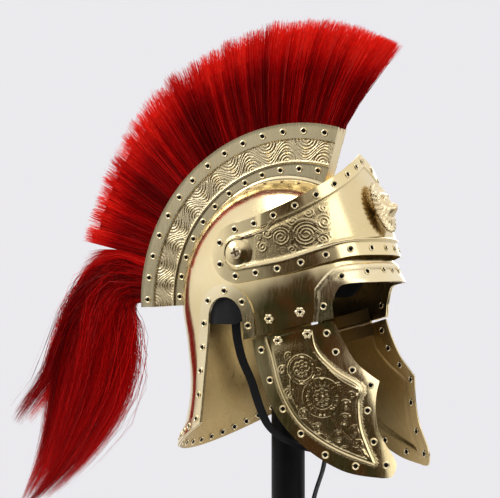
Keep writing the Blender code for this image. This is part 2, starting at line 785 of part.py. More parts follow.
def make_crest_box(look, collection, cutters):
    half = 0.5 * CREST_WIDTH
    box = arc_solid(CREST_INNER_RADIUS - CREST_SINK, CREST_OUTER_RADIUS, half, CREST_FRONT_ANGLE,
                    CREST_BACK_ANGLE, CREST_STEPS)
    made = add_object("crest_box", mesh_from_bmesh("crest_box", box), look, collection)
    end = math.degrees(CREST_PLATE / CREST_OUTER_RADIUS)
    hollow = arc_solid(CREST_INNER_RADIUS + CREST_FLOOR, CREST_OUTER_RADIUS + CREST_SINK, half - CREST_PLATE,
                       CREST_FRONT_ANGLE + end, CREST_BACK_ANGLE - end, CREST_STEPS)
    cut(made, add_cutter("crest_hollow", hollow, cutters), "DIFFERENCE")
    cut(made, add_cutter("crest_seat", bowl_solid(), cutters), "DIFFERENCE")
    return made


def loft(name, sections, look, collection):
    """A closed solid through rings of equal, even numbers of points, with its ends closed rung by rung."""
    shape = bmesh.new()
    rings = [[shape.verts.new(point) for point in section] for section in sections]
    count = len(rings[0])
    for low, high in zip(rings, rings[1:]):
        for k in range(count):
            following = (k + 1) % count
            shape.faces.new((low[k], low[following], high[following], high[k]))
    for ring in (rings[0], rings[-1]):
        for k in range(count // 2 - 1):
            shape.faces.new((ring[k], ring[k + 1], ring[count - 2 - k], ring[count - 1 - k]))
    return add_object(name, mesh_from_bmesh(name, shape), look, collection)


def make_plume_fan(look, collection):
    """Locks side by side: each is full at its middle and drawn in where it meets the next."""
    root = CREST_OUTER_RADIUS - PLUME_ROOT_DEPTH
    root_half = 0.5 * CREST_WIDTH - CREST_PLATE - PLUME_CLEARANCE
    start = CREST_FRONT_ANGLE + math.degrees((CREST_PLATE + PLUME_CLEARANCE) / root)
    sections = []
    for k in range(2 * LOCK_COUNT + 1):
        share = k / (2 * LOCK_COUNT)
        drawn_in = LOCK_RELIEF if k % 2 == 0 else 0.0
        low = start + (PLUME_SPLIT_ANGLE - start) * share
        high = PLUME_TIP_FRONT_ANGLE + (PLUME_SPLIT_ANGLE - PLUME_TIP_FRONT_ANGLE) * share
        fullness = 1.0 - 0.05 * (1 - smooth_step(share, 0.0, 0.15)) - 0.08 * smooth_step(share, 0.6, 1.0)
        reach = (PLUME_OUTER_RADIUS - root) * fullness * (1 - 0.35 * drawn_in)
        rim = PLUME_ROOT_DEPTH / reach
        rows = ((0.0, 0.0), (rim, 0.0), (0.6, 0.55), (0.94, 1.0), (1.0, 0.8))
        right, left = [], []
        for rise, spread in rows:
            half = root_half + (0.5 * PLUME_TIP_WIDTH - root_half) * spread
            half *= 1 - drawn_in * min(1.0, 2 * spread)
            lean = max(0.0, rise - rim) / (1 - rim)
            angle = low + (high - low) * lean
            right.append(crest_spot(-half, root + reach * rise, angle))
            left.append(crest_spot(half, root + reach * rise, angle))
        sections.append(right + list(reversed(left)))
    return loft("plume_fan", sections, look, collection)


def make_plume_tail(look, collection):
    """The hair that falls behind: a root in the box, then locks that spread and draw to a point."""
    root = CREST_OUTER_RADIUS - PLUME_ROOT_DEPTH
    gap = math.degrees((CREST_PLATE + PLUME_CLEARANCE) / root)
    middle = 0.5 * (PLUME_SPLIT_ANGLE + CREST_BACK_ANGLE)
    half_root = math.radians(0.5 * (CREST_BACK_ANGLE - PLUME_SPLIT_ANGLE) - gap) * root
    outward = Vector((0, math.cos(math.radians(middle)), math.sin(math.radians(middle))))
    start = Vector((0, CREST_FORWARD, 0)) + outward * root
    # Shares of the tail's length: how far back and how far down the middle of each section is
    # and its shares of the tail's width and thickness
    rows = ((0.17, -0.012, 0.6, 0.6), (0.245, 0.07, 0.84, 0.82), (0.275, 0.22, 0.95, 1.0),
            (0.315, 0.38, 1.0, 0.95), (0.385, 0.54, 0.84, 0.8), (0.475, 0.68, 0.54, 0.55),
            (0.59, 0.8, 0.13, 0.2))
    middles = [start, start + outward * (PLUME_ROOT_DEPTH + 4.0)]
    widths = [2 * half_root, 2 * half_root]
    thicknesses = [CREST_WIDTH - 2 * (CREST_PLATE + PLUME_CLEARANCE)] * 2
    for back, down, width, thickness in rows:
        middles.append(start + Vector((0, -back, -down)) * TAIL_LENGTH)
        widths.append(width * TAIL_WIDTH)
        thicknesses.append(thickness * TAIL_THICKNESS)
    sections = []
    sides = 20
    for i, spot in enumerate(middles):
        ahead = middles[min(i + 1, len(middles) - 1)] - middles[max(i - 1, 0)]
        if i < 2:
            ahead = outward
        across = Vector((0, -ahead.z, ahead.y)).normalized()
        relief = 0.0 if i < 2 else LOCK_RELIEF
        ring = []
        for k in range(sides):
            angle = 2 * math.pi * (k + 0.5) / sides
            swell = 1.0 - (relief if k % 2 else 0.0)
            round_side, round_width = math.sin(angle), math.cos(angle)
            if i < 2:
                grow = 1 / max(abs(round_side), abs(round_width))
                round_side, round_width = round_side * grow, round_width * grow
            outer = spot + across * (0.5 * widths[i] * round_width * swell)
            ring.append(place(0.5 * thicknesses[i] * round_side * swell, outer.y, outer.z))
        sections.append(ring)
    return loft("plume_tail", sections, look, collection)


# Cheek guards and their hinges

def cheek_outline():
    """The cheek guard's outline as (turn, level) points on the right side."""
    drop = CHEEK_DROP + HINGE_LEVEL
    rear = (CHEEK_REAR, hinge_level(CHEEK_REAR) - HINGE_GAP / 2)
    front = (TEMPLE_FORWARD, hinge_level(TEMPLE_FORWARD) - HINGE_GAP / 2)

    def spot(share):
        return CHEEK_REAR + share[0] * CHEEK_LENGTH, HINGE_LEVEL - share[1] * drop

    front_edge = [front] + [spot(share) for share in CHEEK_FRONT_EDGE]
    hinge = hinge_edge(CHEEK_REAR, TEMPLE_FORWARD, -HINGE_GAP / 2)[:-1]
    hollow = [front_edge[-1]] + [spot(share) for share in CHEEK_HOLLOW + CHEEK_TIP]
    lower = [hollow[-1]] + [spot(share) for share in CHEEK_LOWER_EDGE] + [rear]
    path = smooth_path(front_edge, 2)[:-1] + smooth_path(hollow, 2)[:-1] + smooth_path(lower, 3)
    return [on_skull(*p) for p in path] + hinge


def hinge_frame(side):
    """Matrix of the hinge: X along the pin, Y outwards, Z up along the sheet, at the pin's middle."""
    ends = []
    inset = SHEET + HINGE_CLEARANCE + KNUCKLE_RADIUS
    for forward in (HINGE_CENTRE_FORWARD - 0.5 * HINGE_LENGTH, HINGE_CENTRE_FORWARD + 0.5 * HINGE_LENGTH):
        turn, level = on_skull(forward, hinge_level(forward))
        ends.append(surface_point(skull_radius, side * turn, level, -inset))
    rear, front = place(*ends[0]), place(*ends[1])
    ahead = (front - rear).normalized() * -side
    up = Vector((0, 0, 1))
    up = (up - ahead * up.dot(ahead)).normalized()
    outward = up.cross(ahead)
    turned = Matrix((ahead, outward, up)).transposed().to_4x4()
    return Matrix.Translation((front + rear) / 2) @ turned


def hinge_box(low, high):
    shape = bmesh.new()
    bmesh.ops.create_cube(shape, size=1.0)
    low, high = Vector(low), Vector(high)
    bmesh.ops.scale(shape, vec=(high - low) * MM, verts=shape.verts)
    bmesh.ops.translate(shape, vec=(low + high) / 2 * MM, verts=shape.verts)
    return shape


def hinge_rod(radius, start, end, sides):
    shape = bmesh.new()
    turned_profile(shape, [(radius, start), (radius, end)], sides)
    bmesh.ops.rotate(shape, cent=(0, 0, 0), matrix=Matrix.Rotation(math.pi / 2, 3, "Y"), verts=shape.verts)
    return shape


def make_hinge(side, look, collection, cutters, pivot):
    """Upper leaf with its pin on the helmet, lower leaf with the middle knuckle on the cheek guard."""
    name_end = "right" if side > 0 else "left"
    frame = hinge_frame(side)
    half = 0.5 * HINGE_LENGTH
    third = HINGE_LENGTH / 6
    apart = HINGE_CLEARANCE
    face = KNUCKLE_RADIUS - LEAF_SETBACK
    past = KNUCKLE_RADIUS + apart + PIN_END

    def finish(shape):
        bmesh.ops.transform(shape, matrix=frame, verts=shape.verts)
        return shape

    def part(name, shape):
        return add_object(name, mesh_from_bmesh(name, finish(shape)), look, collection)

    def join(target, name, shape, operation="UNION"):
        cut(target, add_cutter(name, finish(shape), cutters), operation)

    upper = part("hinge_upper_" + name_end, hinge_box((-half, face - LEAF, past), (half, face, LEAF_HEIGHT)))
    for number, (start, end) in enumerate(((-half, -third - apart), (third + apart, half))):
        low = (start + TAB_INSET, face - LEAF + TAB_INSET, 0.0)
        tab = hinge_box(low, (end - TAB_INSET, face - TAB_INSET, past + TAB_SINK))
        join(upper, f"{upper.name}_tab_{number}", tab)
        join(upper, f"{upper.name}_knuckle_{number}", hinge_rod(KNUCKLE_RADIUS, start, end, 12))
    join(upper, f"{upper.name}_pin", hinge_rod(PIN_RADIUS, -half + 1.0, half - 1.0, 10))

    leaf = hinge_box((-half, face - LEAF, -LEAF_HEIGHT), (half, face, -past))
    lower = part("hinge_lower_" + name_end, leaf)
    reach = third - TAB_INSET
    tab = hinge_box((-reach, face - LEAF + TAB_INSET, -past - 1.0), (reach, face - TAB_INSET, 0.0))
    join(lower, f"{lower.name}_tab", tab)
    join(lower, f"{lower.name}_knuckle", hinge_rod(KNUCKLE_RADIUS, -third, third, 12))
    bore = hinge_rod(PIN_RADIUS + apart, -2 * third, 2 * third, 10)
    join(lower, f"{lower.name}_bore", bore, "DIFFERENCE")
    hang(lower, pivot)


def hang(thing, pivot):
    """Puts a piece under the empty on its joint's axis, where it already is."""
    thing.parent = pivot
    thing.matrix_parent_inverse = pivot.matrix_world.inverted()


def make_pivot(side, collection):
    name = "right_cheek_axis" if side > 0 else "left_cheek_axis"
    pivot = bpy.data.objects.new(name, None)
    pivot.matrix_world = hinge_frame(side)
    collection.objects.link(pivot)
    bpy.context.view_layer.update()
    return pivot


def make_cheek_guard(side, look, collection, pivot):
    name = "cheek_guard_right" if side > 0 else "cheek_guard_left"
    outline = [(side * turn, level) for turn, level in cheek_outline()]
    made = sheet(name, SKULL, outline, SHEET, 0.0, look, collection, FACET)
    hang(made, pivot)
    return made


# Chin strap


def ribbon(name, route, width, thickness, look, collection):
    """A flat strap along a route of (side, forward, level) points, its width pointing fore and aft."""
    sections = []
    for i, spot in enumerate(route):
        ahead = (route[min(i + 1, len(route) - 1)] - route[max(i - 1, 0)]).normalized()
        across = Vector((0, 1, 0)) if abs(ahead.y) < 0.9 else Vector((1, 0, 0))
        across = (across - ahead * across.dot(ahead)).normalized()
        over = ahead.cross(across)
        corners = ((-1, -1), (1, -1), (1, 1), (-1, 1))
        ring = [spot + across * (0.5 * width * a) + over * (0.5 * thickness * b) for a, b in corners]
        sections.append([place(*corner) for corner in ring])
    return loft(name, sections, look, collection)


def make_strap(look, collection):
    left = []
    for forward, level, away in STRAP_ENDS:
        inner = skull_radius(math.pi / 2, level) - SHEET - LINER_CLEARANCE - LINER
        left.append((inner - 0.5 * STRAP_THICKNESS - away, forward, level))
    left += [(share * HALF_WIDTH, forward, level) for share, forward, level in STRAP_ROUTE]
    right = [(-side, forward, level) for side, forward, level in left[:-1]]
    route = smooth_path(left + list(reversed(right)), 3)
    ribbon("chin_strap", route, STRAP_WIDTH, STRAP_THICKNESS, look, collection)
    chin = Vector(left[-1]) - Vector((0, 0, 0.5 * STRAP_THICKNESS + STRAP_CLEARANCE))
    tail = [chin + Vector((0.0, forward, level)) for forward, level in STRAP_TAIL_ROUTE]
    tail_route = smooth_path(tail, 3)
    sections = []
    for i, spot in enumerate(tail_route):
        ahead = (tail_route[min(i + 1, len(tail_route) - 1)] - tail_route[max(i - 1, 0)]).normalized()
        over = ahead.cross(Vector((1, 0, 0)))
        corners = ((-1, -1), (1, -1), (1, 1), (-1, 1))
        across = Vector((0.5 * STRAP_WIDTH, 0, 0))
        ring = [spot + across * a + over * (0.5 * STRAP_THICKNESS * b) for a, b in corners]
        sections.append([place(*corner) for corner in ring])
    return loft("strap_tail", sections, look, collection)


# Stand


def make_stand(look, collection):
    """A turned base and post, with a round head that follows the liner's crown."""
    inset = SHEET + LINER_CLEARANCE + LINER + SEAT_CLEARANCE
    dome, reach = CROWN_HEIGHT - inset, HALF_WIDTH - inset
    top = dome + DATUM_HEIGHT
    profile = [(BASE_RADIUS, 0.0), (BASE_RADIUS, 0.7 * BASE_THICKNESS), (BASE_RADIUS - 4.0, BASE_THICKNESS),
               (POST_RADIUS + 5.0, BASE_THICKNESS + 1.0), (POST_RADIUS, BASE_THICKNESS + 8.0),
               (POST_RADIUS, top - HEAD_DEPTH), (HEAD_RADIUS - 4.0, top - HEAD_DEPTH + 6.0)]
    for k in range(6):
        radius = HEAD_RADIUS * (1 - k / 6.5)
        profile.append((radius, top - dome * (1 - math.sqrt(1 - (radius / reach) ** 2))))
    shape = bmesh.new()
    turned_profile(shape, profile, ROUND_SIDES)
    return add_object("stand_post", mesh_from_bmesh("stand_post", shape), look, collection)


def main():
    clear_scene()
    parts = new_collection("roman_centurion_helmet_on_stand")
    cutters = new_collection("cutters")
    brass = material("polished_brass", (0.83, 0.66, 0.36), 1.0, 0.16)
    band_brass = material("band_brass", (0.80, 0.64, 0.36), 1.0, 0.2)
    cast_brass = material("cast_brass", (0.85, 0.63, 0.26), 1.0, 0.3)
    leaf_brass = material("hinge_brass", (0.62, 0.47, 0.22), 1.0, 0.35)
    horsehair = material("red_horsehair", (0.55, 0.01, 0.015), 0.0, 0.55)
    black_cloth = material("black_liner", (0.015, 0.015, 0.016), 0.0, 0.8)
    black_leather = material("black_leather", (0.012, 0.012, 0.012), 0.0, 0.45)
    black_wood = material("black_stand", (0.01, 0.01, 0.011), 0.0, 0.4)

    make_stand(black_wood, parts)
    make_shell(brass, parts)
    make_liner(black_cloth, parts)
    make_bands(band_brass, parts)
    make_visor(brass, parts)
    make_visor_pivots(cast_brass, parts, cutters)
    make_medallion(cast_brass, parts, cutters)
    make_crest_box(band_brass, parts, cutters)
    make_plume_fan(horsehair, parts)
    make_plume_tail(horsehair, parts)
    for side in (1, -1):
        pivot = make_pivot(side, parts)
        make_cheek_guard(side, brass, parts, pivot)
        make_hinge(side, leaf_brass, parts, cutters, pivot)
    make_strap(black_leather, parts)


main()
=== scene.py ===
"""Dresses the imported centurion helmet: fine sheets with raised ornament, eyelets, hair, leather and stand.

Sizes are in millimetres and turned into metres by place(). Heights are measured from the helmet's datum,
the widest level of the skull, and "forward" points to the face. A turn of 0 is the front, pi the back.
"""

import math

import bpy
import numpy as np
from mathutils import Matrix, Vector
from mathutils.geometry import delaunay_2d_cdt


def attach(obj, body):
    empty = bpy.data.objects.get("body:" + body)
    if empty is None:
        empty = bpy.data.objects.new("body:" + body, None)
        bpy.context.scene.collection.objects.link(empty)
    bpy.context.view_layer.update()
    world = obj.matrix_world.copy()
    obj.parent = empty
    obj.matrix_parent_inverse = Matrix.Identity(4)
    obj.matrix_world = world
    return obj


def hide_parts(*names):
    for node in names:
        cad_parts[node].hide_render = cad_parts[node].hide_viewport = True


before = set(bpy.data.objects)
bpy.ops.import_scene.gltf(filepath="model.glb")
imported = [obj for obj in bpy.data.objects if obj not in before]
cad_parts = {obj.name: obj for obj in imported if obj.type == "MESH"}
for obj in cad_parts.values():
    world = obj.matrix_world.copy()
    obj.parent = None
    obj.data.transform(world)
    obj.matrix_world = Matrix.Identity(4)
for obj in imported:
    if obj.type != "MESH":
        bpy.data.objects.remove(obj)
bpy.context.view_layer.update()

MM = 0.001
DATUM_HEIGHT = 330.0
SIDES = (("right", 1), ("left", -1))

# Stand
BASE_RADIUS = 95.06
BASE_THICKNESS = 16.0
POST_RADIUS = 17.9
HEAD_RADIUS = 46.0
HEAD_DEPTH = 38.0
SEAT_CLEARANCE = 0.8

# Skull and neck guard
SHEET = 1.2
HALF_WIDTH = 98.0
FRONT_LENGTH = 118.0
BACK_LENGTH = 116.0
CROWN_HEIGHT = 130.0
NECK_DROP = 163.0
CHEEK_DROP = 177.0
FRONT_ROUNDNESS = 2.4
BACK_ROUNDNESS = 2.1
BLEND_FROM = math.radians(85)
BLEND_TO = math.radians(120)
BACK_SECTIONS = ((0.0, 1.0, 1.0), (0.28, 1.0, 0.94), (0.55, 1.05, 0.89), (0.78, 1.09, 0.93),
                 (1.0, 1.12, 1.034))
FRONT_SECTIONS = ((0.0, 1.0, 1.0), (0.14, 0.965, 1.0), (0.25, 0.935, 1.07), (0.45, 0.93, 1.2),
                  (0.72, 0.93, 1.29), (1.0, 0.93, 1.37))

# Brow, temples, hinge line, ear openings and bands
BROW_LEVEL = 19.0
BROW_BAND_TOP = 38.0
BROW_FLARE = 8.0
BROW_BLEND = 8.0
BROW_CLEARANCE = 0.8
TEMPLE_FORWARD = 84.5
TEMPLE_TOP = -4.0
BROW_CORNER_FORWARD = 96.0
FACE_BAND_BACK = 67.0
HINGE_LEVEL = -40.0
HINGE_SLOPE = 0.244
HINGE_GAP = 2.5
EAR_FORWARD = -26.5
EAR_RADIUS = 20.5
EAR_CENTRE_LEVEL = -17.5
EAR_REAR_SPREAD = 9.0
RIM_CORNER_LEVEL = -127.0
BAND = 1.2
BAND_WIDTH = 13.0
BAND_CLEARANCE = 0.5
BAND_JOINT = 0.6

# Liner
LINER = 3.0
LINER_CLEARANCE = 0.5
LINER_BACK_LEVEL = -25.0
LINER_TEMPLE_LEVEL = 3.0
LINER_BROW_LEVEL = 46.0
LINER_STEP_FROM = math.radians(45)
LINER_STEP_TO = math.radians(72)
LINER_BACK_FROM = math.radians(100)

# Visor and medallion
VISOR_CLEARANCE = 0.45
VISOR_END_FORWARD = -11.0
VISOR_END_LEVEL = 48.0
VISOR_END_RADIUS = 31.0
VISOR_FRONT = 120.0
VISOR_FRONT_LEVEL = 47.0
VISOR_LEAN = 0.365
VISOR_SIDE_LEAN = 0.04
PEAK_LEVEL = 153.0
PEAK_RISE_FORWARD = 0.342
PEAK_FALL_SIDE = 0.455
PIVOT_RADIUS = 13.0
PIVOT_HEIGHT = 3.0
SCREW_RADIUS = 6.0
SCREW_HEIGHT = 2.4
MEDALLION_LEVEL = 94.0
MEDALLION_WIDTH = 50.0
MEDALLION_HEIGHT = 58.0
MEDALLION_PLATE = 5.0
MEDALLION_STAND_OFF = 4.0
MUZZLE_HEIGHT = 11.0
STUD_RADIUS = 5.0

# Crest box and plume
CREST_FORWARD = 12.0
CREST_INNER_RADIUS = 131.0
CREST_OUTER_RADIUS = 189.0
CREST_WIDTH = 20.0
CREST_FRONT_ANGLE = 74.0
CREST_BACK_ANGLE = 182.5
CREST_PLATE = 1.2
CREST_FLOOR = 4.0
CREST_CLEARANCE = 0.4
PLUME_CLEARANCE = 0.4
PLUME_ROOT_DEPTH = 24.0
PLUME_OUTER_RADIUS = 298.0
PLUME_TIP_WIDTH = 44.0
PLUME_TIP_FRONT_ANGLE = 67.0
PLUME_SPLIT_ANGLE = 165.0
TAIL_LENGTH = 330.0
TAIL_WIDTH = 132.0
TAIL_THICKNESS = 50.0

# Cheek guards
CHEEK_LENGTH = 139.0
CHEEK_REAR = 3.0
CHEEK_FRONT_EDGE = ((0.66, 0.03), (0.742, 0.17), (0.878, 0.3))
CHEEK_HOLLOW = ((0.867, 0.41), (0.87, 0.53), (0.9, 0.68), (0.984, 0.85))
CHEEK_TIP = ((1.0, 0.92), (0.978, 0.985), (0.925, 0.995))
CHEEK_LOWER_EDGE = ((0.67, 0.942), (0.39, 0.77), (0.173, 0.532), (0.04, 0.21))

# Chin strap: its ends are forward, level and how far in from the liner, its route is side, forward and level
# of one half, and its free end is forward and down from its lowest point
STRAP_WIDTH = 10.0
STRAP_THICKNESS = 2.0
STRAP_CLEARANCE = 0.4
STRAP_ENDS = ((-15.0, 24.0, 2.1), (-17.0, -4.0, 2.0))
STRAP_ROUTE = ((84.0, -19.0, -34.0), (74.0, -18.0, -60.0), (64.0, -12.0, -84.0), (52.0, -8.0, -112.0),
               (41.0, -2.0, -133.0), (28.0, 12.0, -148.0), (14.0, 34.0, -158.0), (0.0, 44.0, -161.0))
STRAP_TAIL_ROUTE = ((0.0, 0.0), (-4.0, -18.0), (-13.0, -44.0), (-19.0, -72.0))

# Visor's trim. Scrolls and arcs lie on a flat chart of length from the middle front and level: scrolls are
# centre, radius, turns, start angle and way round, arcs are centre, radii, start angle and end angle
VISOR_FLANGE = 14.5
UPPER_FLANGE = 12.6
UPPER_FLANGE_RISE = 2.1
UPPER_FLANGE_END = 146.0
VISOR_SCROLLS = (
    ((118.0, 63.0), 9.6, 2.7, 0.4, 1), ((94.5, 65.5), 12.0, 3.2, 2.2, -1), ((77.5, 77.5), 9.0, 2.4, 5.0, 1),
    ((136.5, 53.5), 6.0, 1.7, 1.0, -1), ((131.5, 66.5), 5.2, 1.6, 3.4, 1), ((106.5, 79.5), 5.4, 1.6, 0.2, -1),
    ((107.0, 50.5), 4.6, 1.5, 2.0, 1), ((80.0, 60.5), 6.0, 1.8, 4.1, -1), ((92.0, 87.0), 5.6, 1.7, 1.2, 1),
    ((141.0, 62.5), 3.6, 1.3, 0.0, 1), ((71.0, 66.0), 3.8, 1.4, 2.9, 1), ((78.0, 92.0), 4.2, 1.4, 0.7, -1))
VISOR_ARCS = (((118.0, 63.0), (11.2, 12.8), 0.2, 3.5), ((94.5, 65.5), (13.8, 15.4), -0.6, 2.6),
              ((77.5, 77.5), (10.8, 12.4), 2.2, 5.6), ((94.5, 65.5), (13.8,), 3.6, 4.9))
RIDGE_ROWS = (-2.2, -1.4, -0.7, 0.0, 0.7, 1.4, 2.2)

# Lion mask: rings of curls as share of the reach, number and turn, and lumps of the face as rise, middle
# aside and up, half width and half height in shares of the mask, and how square they are
MASK_CURLS = ((0.91, 26, 0.0), (0.78, 22, 1.6), (0.65, 18, 0.4))
CURL_WIDTH = 0.062
FACE_SCALE = 1.16
FACE_LUMPS = (
    (0.55 * MUZZLE_HEIGHT, 0.0, -0.2, 0.27, 0.19, 2.6), (0.28 * MUZZLE_HEIGHT, 0.14, -0.17, 0.13, 0.11, 2),
    (0.4 * MUZZLE_HEIGHT, 0.0, 0.08, 0.1, 0.25, 2.4), (0.2 * MUZZLE_HEIGHT, 0.0, -0.06, 0.14, 0.06, 2),
    (0.3 * MUZZLE_HEIGHT, 0.25, 0.33, 0.18, 0.075, 2), (0.22 * MUZZLE_HEIGHT, 0.36, -0.05, 0.13, 0.15, 2),
    (-1.5, 0.23, 0.17, 0.12, 0.07, 2), (1.5, 0.23, 0.17, 0.055, 0.045, 2), (-2.2, 0.0, -0.37, 0.22, 0.035, 2),
    (1.1, 0.0, -0.47, 0.15, 0.06, 2), (-0.8, 0.0, -0.22, 0.02, 0.1, 2))

# Crest plates: bands along both edges, and waving lines between them with nested half rings
OUTER_BAND = 17.2
INNER_BAND = 16.4
WAVE_DEGREES = 16.2
WAVE_HEIGHT = 8.6
LINE_SPACING = 3.3
HALF_RING = 13.2

# Cheek guards' trim, as forward and level, and on a flat chart of length along the skull and level
CHEEK_FLAT_LEVEL = -95.0
CHEEK_RIDGE_REAR = ((19.0, -38.0), (24.0, -54.5), (34.0, -90.0), (50.0, -118.0), (69.0, -135.0), (93.0, -149.0),
                    (124.0, -162.0))
CHEEK_RIDGE_FRONT = ((64.0, -27.0), (69.0, -50.0), (87.5, -70.0), (110.0, -86.0), (109.0, -102.0),
                     (112.0, -129.5), (124.0, -162.0))
CHEEK_EYELETS = ((12.8, -50.6), (22.2, -80.8), (36.3, -109.2), (55.2, -133.2), (79.5, -153.6), (108.0, -164.1),
                 (78.6, -33.1), (87.1, -52.0), (102.6, -70.0), (118.4, -85.0), (117.0, -109.8), (123.1, -140.5),
                 (133.9, -163.5))
CHEEK_ROSETTES = (((138.1, -69.1), 10.5, (12.2, 14.2)), ((117.8, -96.9), 11.0, (12.5, 17.2, 19.0)))
BEAD_RING = 14.9
CHEEK_SCROLLS = (
    ((94.3, -104.5), 5.6, 1.9, 0.6, 1), ((96.0, -118.6), 6.2, 2.0, 2.6, -1), ((86.6, -128.8), 5.4, 1.8, 5.2, 1),
    ((85.6, -141.0), 5.0, 1.7, 1.2, -1), ((82.0, -151.0), 3.8, 1.5, 3.9, 1), ((102.2, -134.0), 6.4, 2.0, 4.4, 1),
    ((113.5, -144.0), 5.4, 1.8, 2.1, -1), ((121.5, -128.0), 6.0, 1.9, 0.4, 1), ((97.0, -148.5), 4.6, 1.6, 5.6, 1),
    ((136.0, -113.5), 6.2, 1.9, 3.4, -1), ((152.0, -93.0), 6.4, 2.0, 1.5, 1), ((158.5, -70.0), 4.6, 1.6, 2.8, -1),
    ((121.5, -72.5), 4.4, 1.6, 0.9, 1), ((88.5, -93.5), 4.0, 1.5, 3.0, 1), ((151.5, -56.0), 4.4, 1.5, 5.0, 1),
    ((101.5, -87.0), 4.6, 1.6, 1.9, -1))
CHEEK_STEM = ((123.0, -50.0), (104.0, -71.0), (91.0, -80.5), (78.5, -87.0))
CHEEK_STALKS = (((109.0, -115.0), (103.0, -126.0), (93.0, -137.0), (83.0, -146.0), (77.0, -157.0)),
                ((150.0, -80.0), (146.0, -101.0), (130.0, -121.0), (110.0, -138.0), (95.0, -155.0)))

# Eyelets and flower rivets: brow eyelets as turn in degrees and level, hinge rivets as forward and level
EYELET_RADIUS = 3.9
EYELET_BORE = 2.3
FLOWER_RADIUS = 4.7
BROW_EYELETS = ((0.0, 30.0), (10.0, 30.2), (23.2, 28.0), (37.6, 23.0), (46.8, -6.0))
UPPER_RIVETS = ((23.0, -19.0), (55.0, -12.0))
LOWER_RIVETS = ((31.0, -41.0), (61.0, -34.0))

# Hair: numbers of strands, of points on each and of locks
FAN_STRANDS, FAN_POINTS, FAN_LOCKS = 18000, 6, 130
TAIL_STRANDS, TAIL_POINTS, TAIL_LOCKS = 10200, 9, 60
LOCKS_ASIDE = 5
FILLING_STRANDS = 1100
# The tail's middles back and down as shares of its length, and its width and thickness as shares
TAIL_ROWS = ((0.17, -0.012, 0.6, 0.6), (0.245, 0.07, 0.84, 0.82), (0.275, 0.22, 0.95, 1.0),
             (0.315, 0.38, 1.0, 0.95), (0.385, 0.54, 0.84, 0.8), (0.475, 0.68, 0.54, 0.55),
             (0.59, 0.8, 0.13, 0.2))

# Camera and light, in metres: softboxes are name, place, width, height and power
VIEW_FROM = Vector((-0.9063, -0.4226, 0.0))
DISTANCE = 1.5
AIM = Vector((-0.0173, 0.0370, 0.3848))
LENS = 100.4
BACKDROP = (0.83, 0.82, 0.85)
FLOOR_COLOUR = (0.74, 0.74, 0.77)
SOFTBOXES = (("top", (-0.05, 0.37, 1.95), 0.8, 0.6, 9), ("side", (-0.9, 1.3, 1.4), 0.6, 0.8, 8),
             ("front", (-0.5, -1.7, 0.9), 1.0, 1.4, 5), ("far", (1.5, 0.4, 0.9), 0.8, 1.0, 6))
LIGHT_TARGET = Vector((0.0, 0.0, 0.40))

# Mesh sizes
PLAIN_STEP = 3.5
BAND_STEP = 2.0
RELIEF_STEP = 1.25
FINE_STEP = 0.75


# Curves and surfaces, on arrays of points


def along(table, share, column):
    """Smooth values between the rows of a table, level at its first row."""
    rows = np.array([row[0] for row in table])
    values = np.array([row[column] for row in table])
    slopes = np.zeros(len(rows))
    slopes[1:-1] = (values[2:] - values[:-2]) / (rows[2:] - rows[:-2])
    slopes[-1] = (values[-1] - values[-2]) / (rows[-1] - rows[-2])
    share = np.maximum(share, 0.0)
    i = np.clip(np.searchsorted(rows, share, side="right") - 1, 0, len(rows) - 2)
    span = rows[i + 1] - rows[i]
    t = np.minimum((share - rows[i]) / span, 1.0)
    start = (1 + 2 * t) * (1 - t) ** 2 * values[i] + t * (1 - t) ** 2 * span * slopes[i]
    end = t * t * (3 - 2 * t) * values[i + 1] + t * t * (t - 1) * span * slopes[i + 1]
    return start + end + slopes[-1] * np.maximum(share - rows[-1], 0.0)


def smooth_step(value, low, high):
    t = np.clip((np.asarray(value, float) - low) / (high - low), 0.0, 1.0)
    return t * t * (3 - 2 * t)


def smooth_path(points, steps):
    """A smooth curve through the points, with a number of steps between each pair."""
    points = np.array([tuple(p) for p in points], float)
    last = len(points) - 1
    path = []
    for i in range(last):
        before, start = points[max(i - 1, 0)], points[i]
        end, after = points[i + 1], points[min(i + 2, last)]
        for k in range(steps):
            t = k / steps
            bend = (2 * before - 5 * start + 4 * end - after) * t * t
            twist = (3 * start - before - 3 * end + after) * t ** 3
            path.append(start + 0.5 * ((end - before) * t + bend + twist))
    path.append(points[-1])
    return np.array(path)


def superellipse(turn, half_width, length, roundness):
    across = np.abs(np.sin(turn)) / half_width
    ahead = np.abs(np.cos(turn)) / length
    return (across ** roundness + ahead ** roundness) ** (-1.0 / roundness)


def brow_flare(turn, level):
    """How far the brow's edge is turned out at the front."""
    top = BROW_BAND_TOP + BROW_BLEND
    above = np.clip((top - level) / (top - BROW_LEVEL), 0.0, 1.0)
    below = smooth_step(level, HINGE_LEVEL / 2, 0.0)
    return np.where(turn > math.pi / 4, 0.0, BROW_FLARE * above ** 2 * below * np.cos(2 * turn))


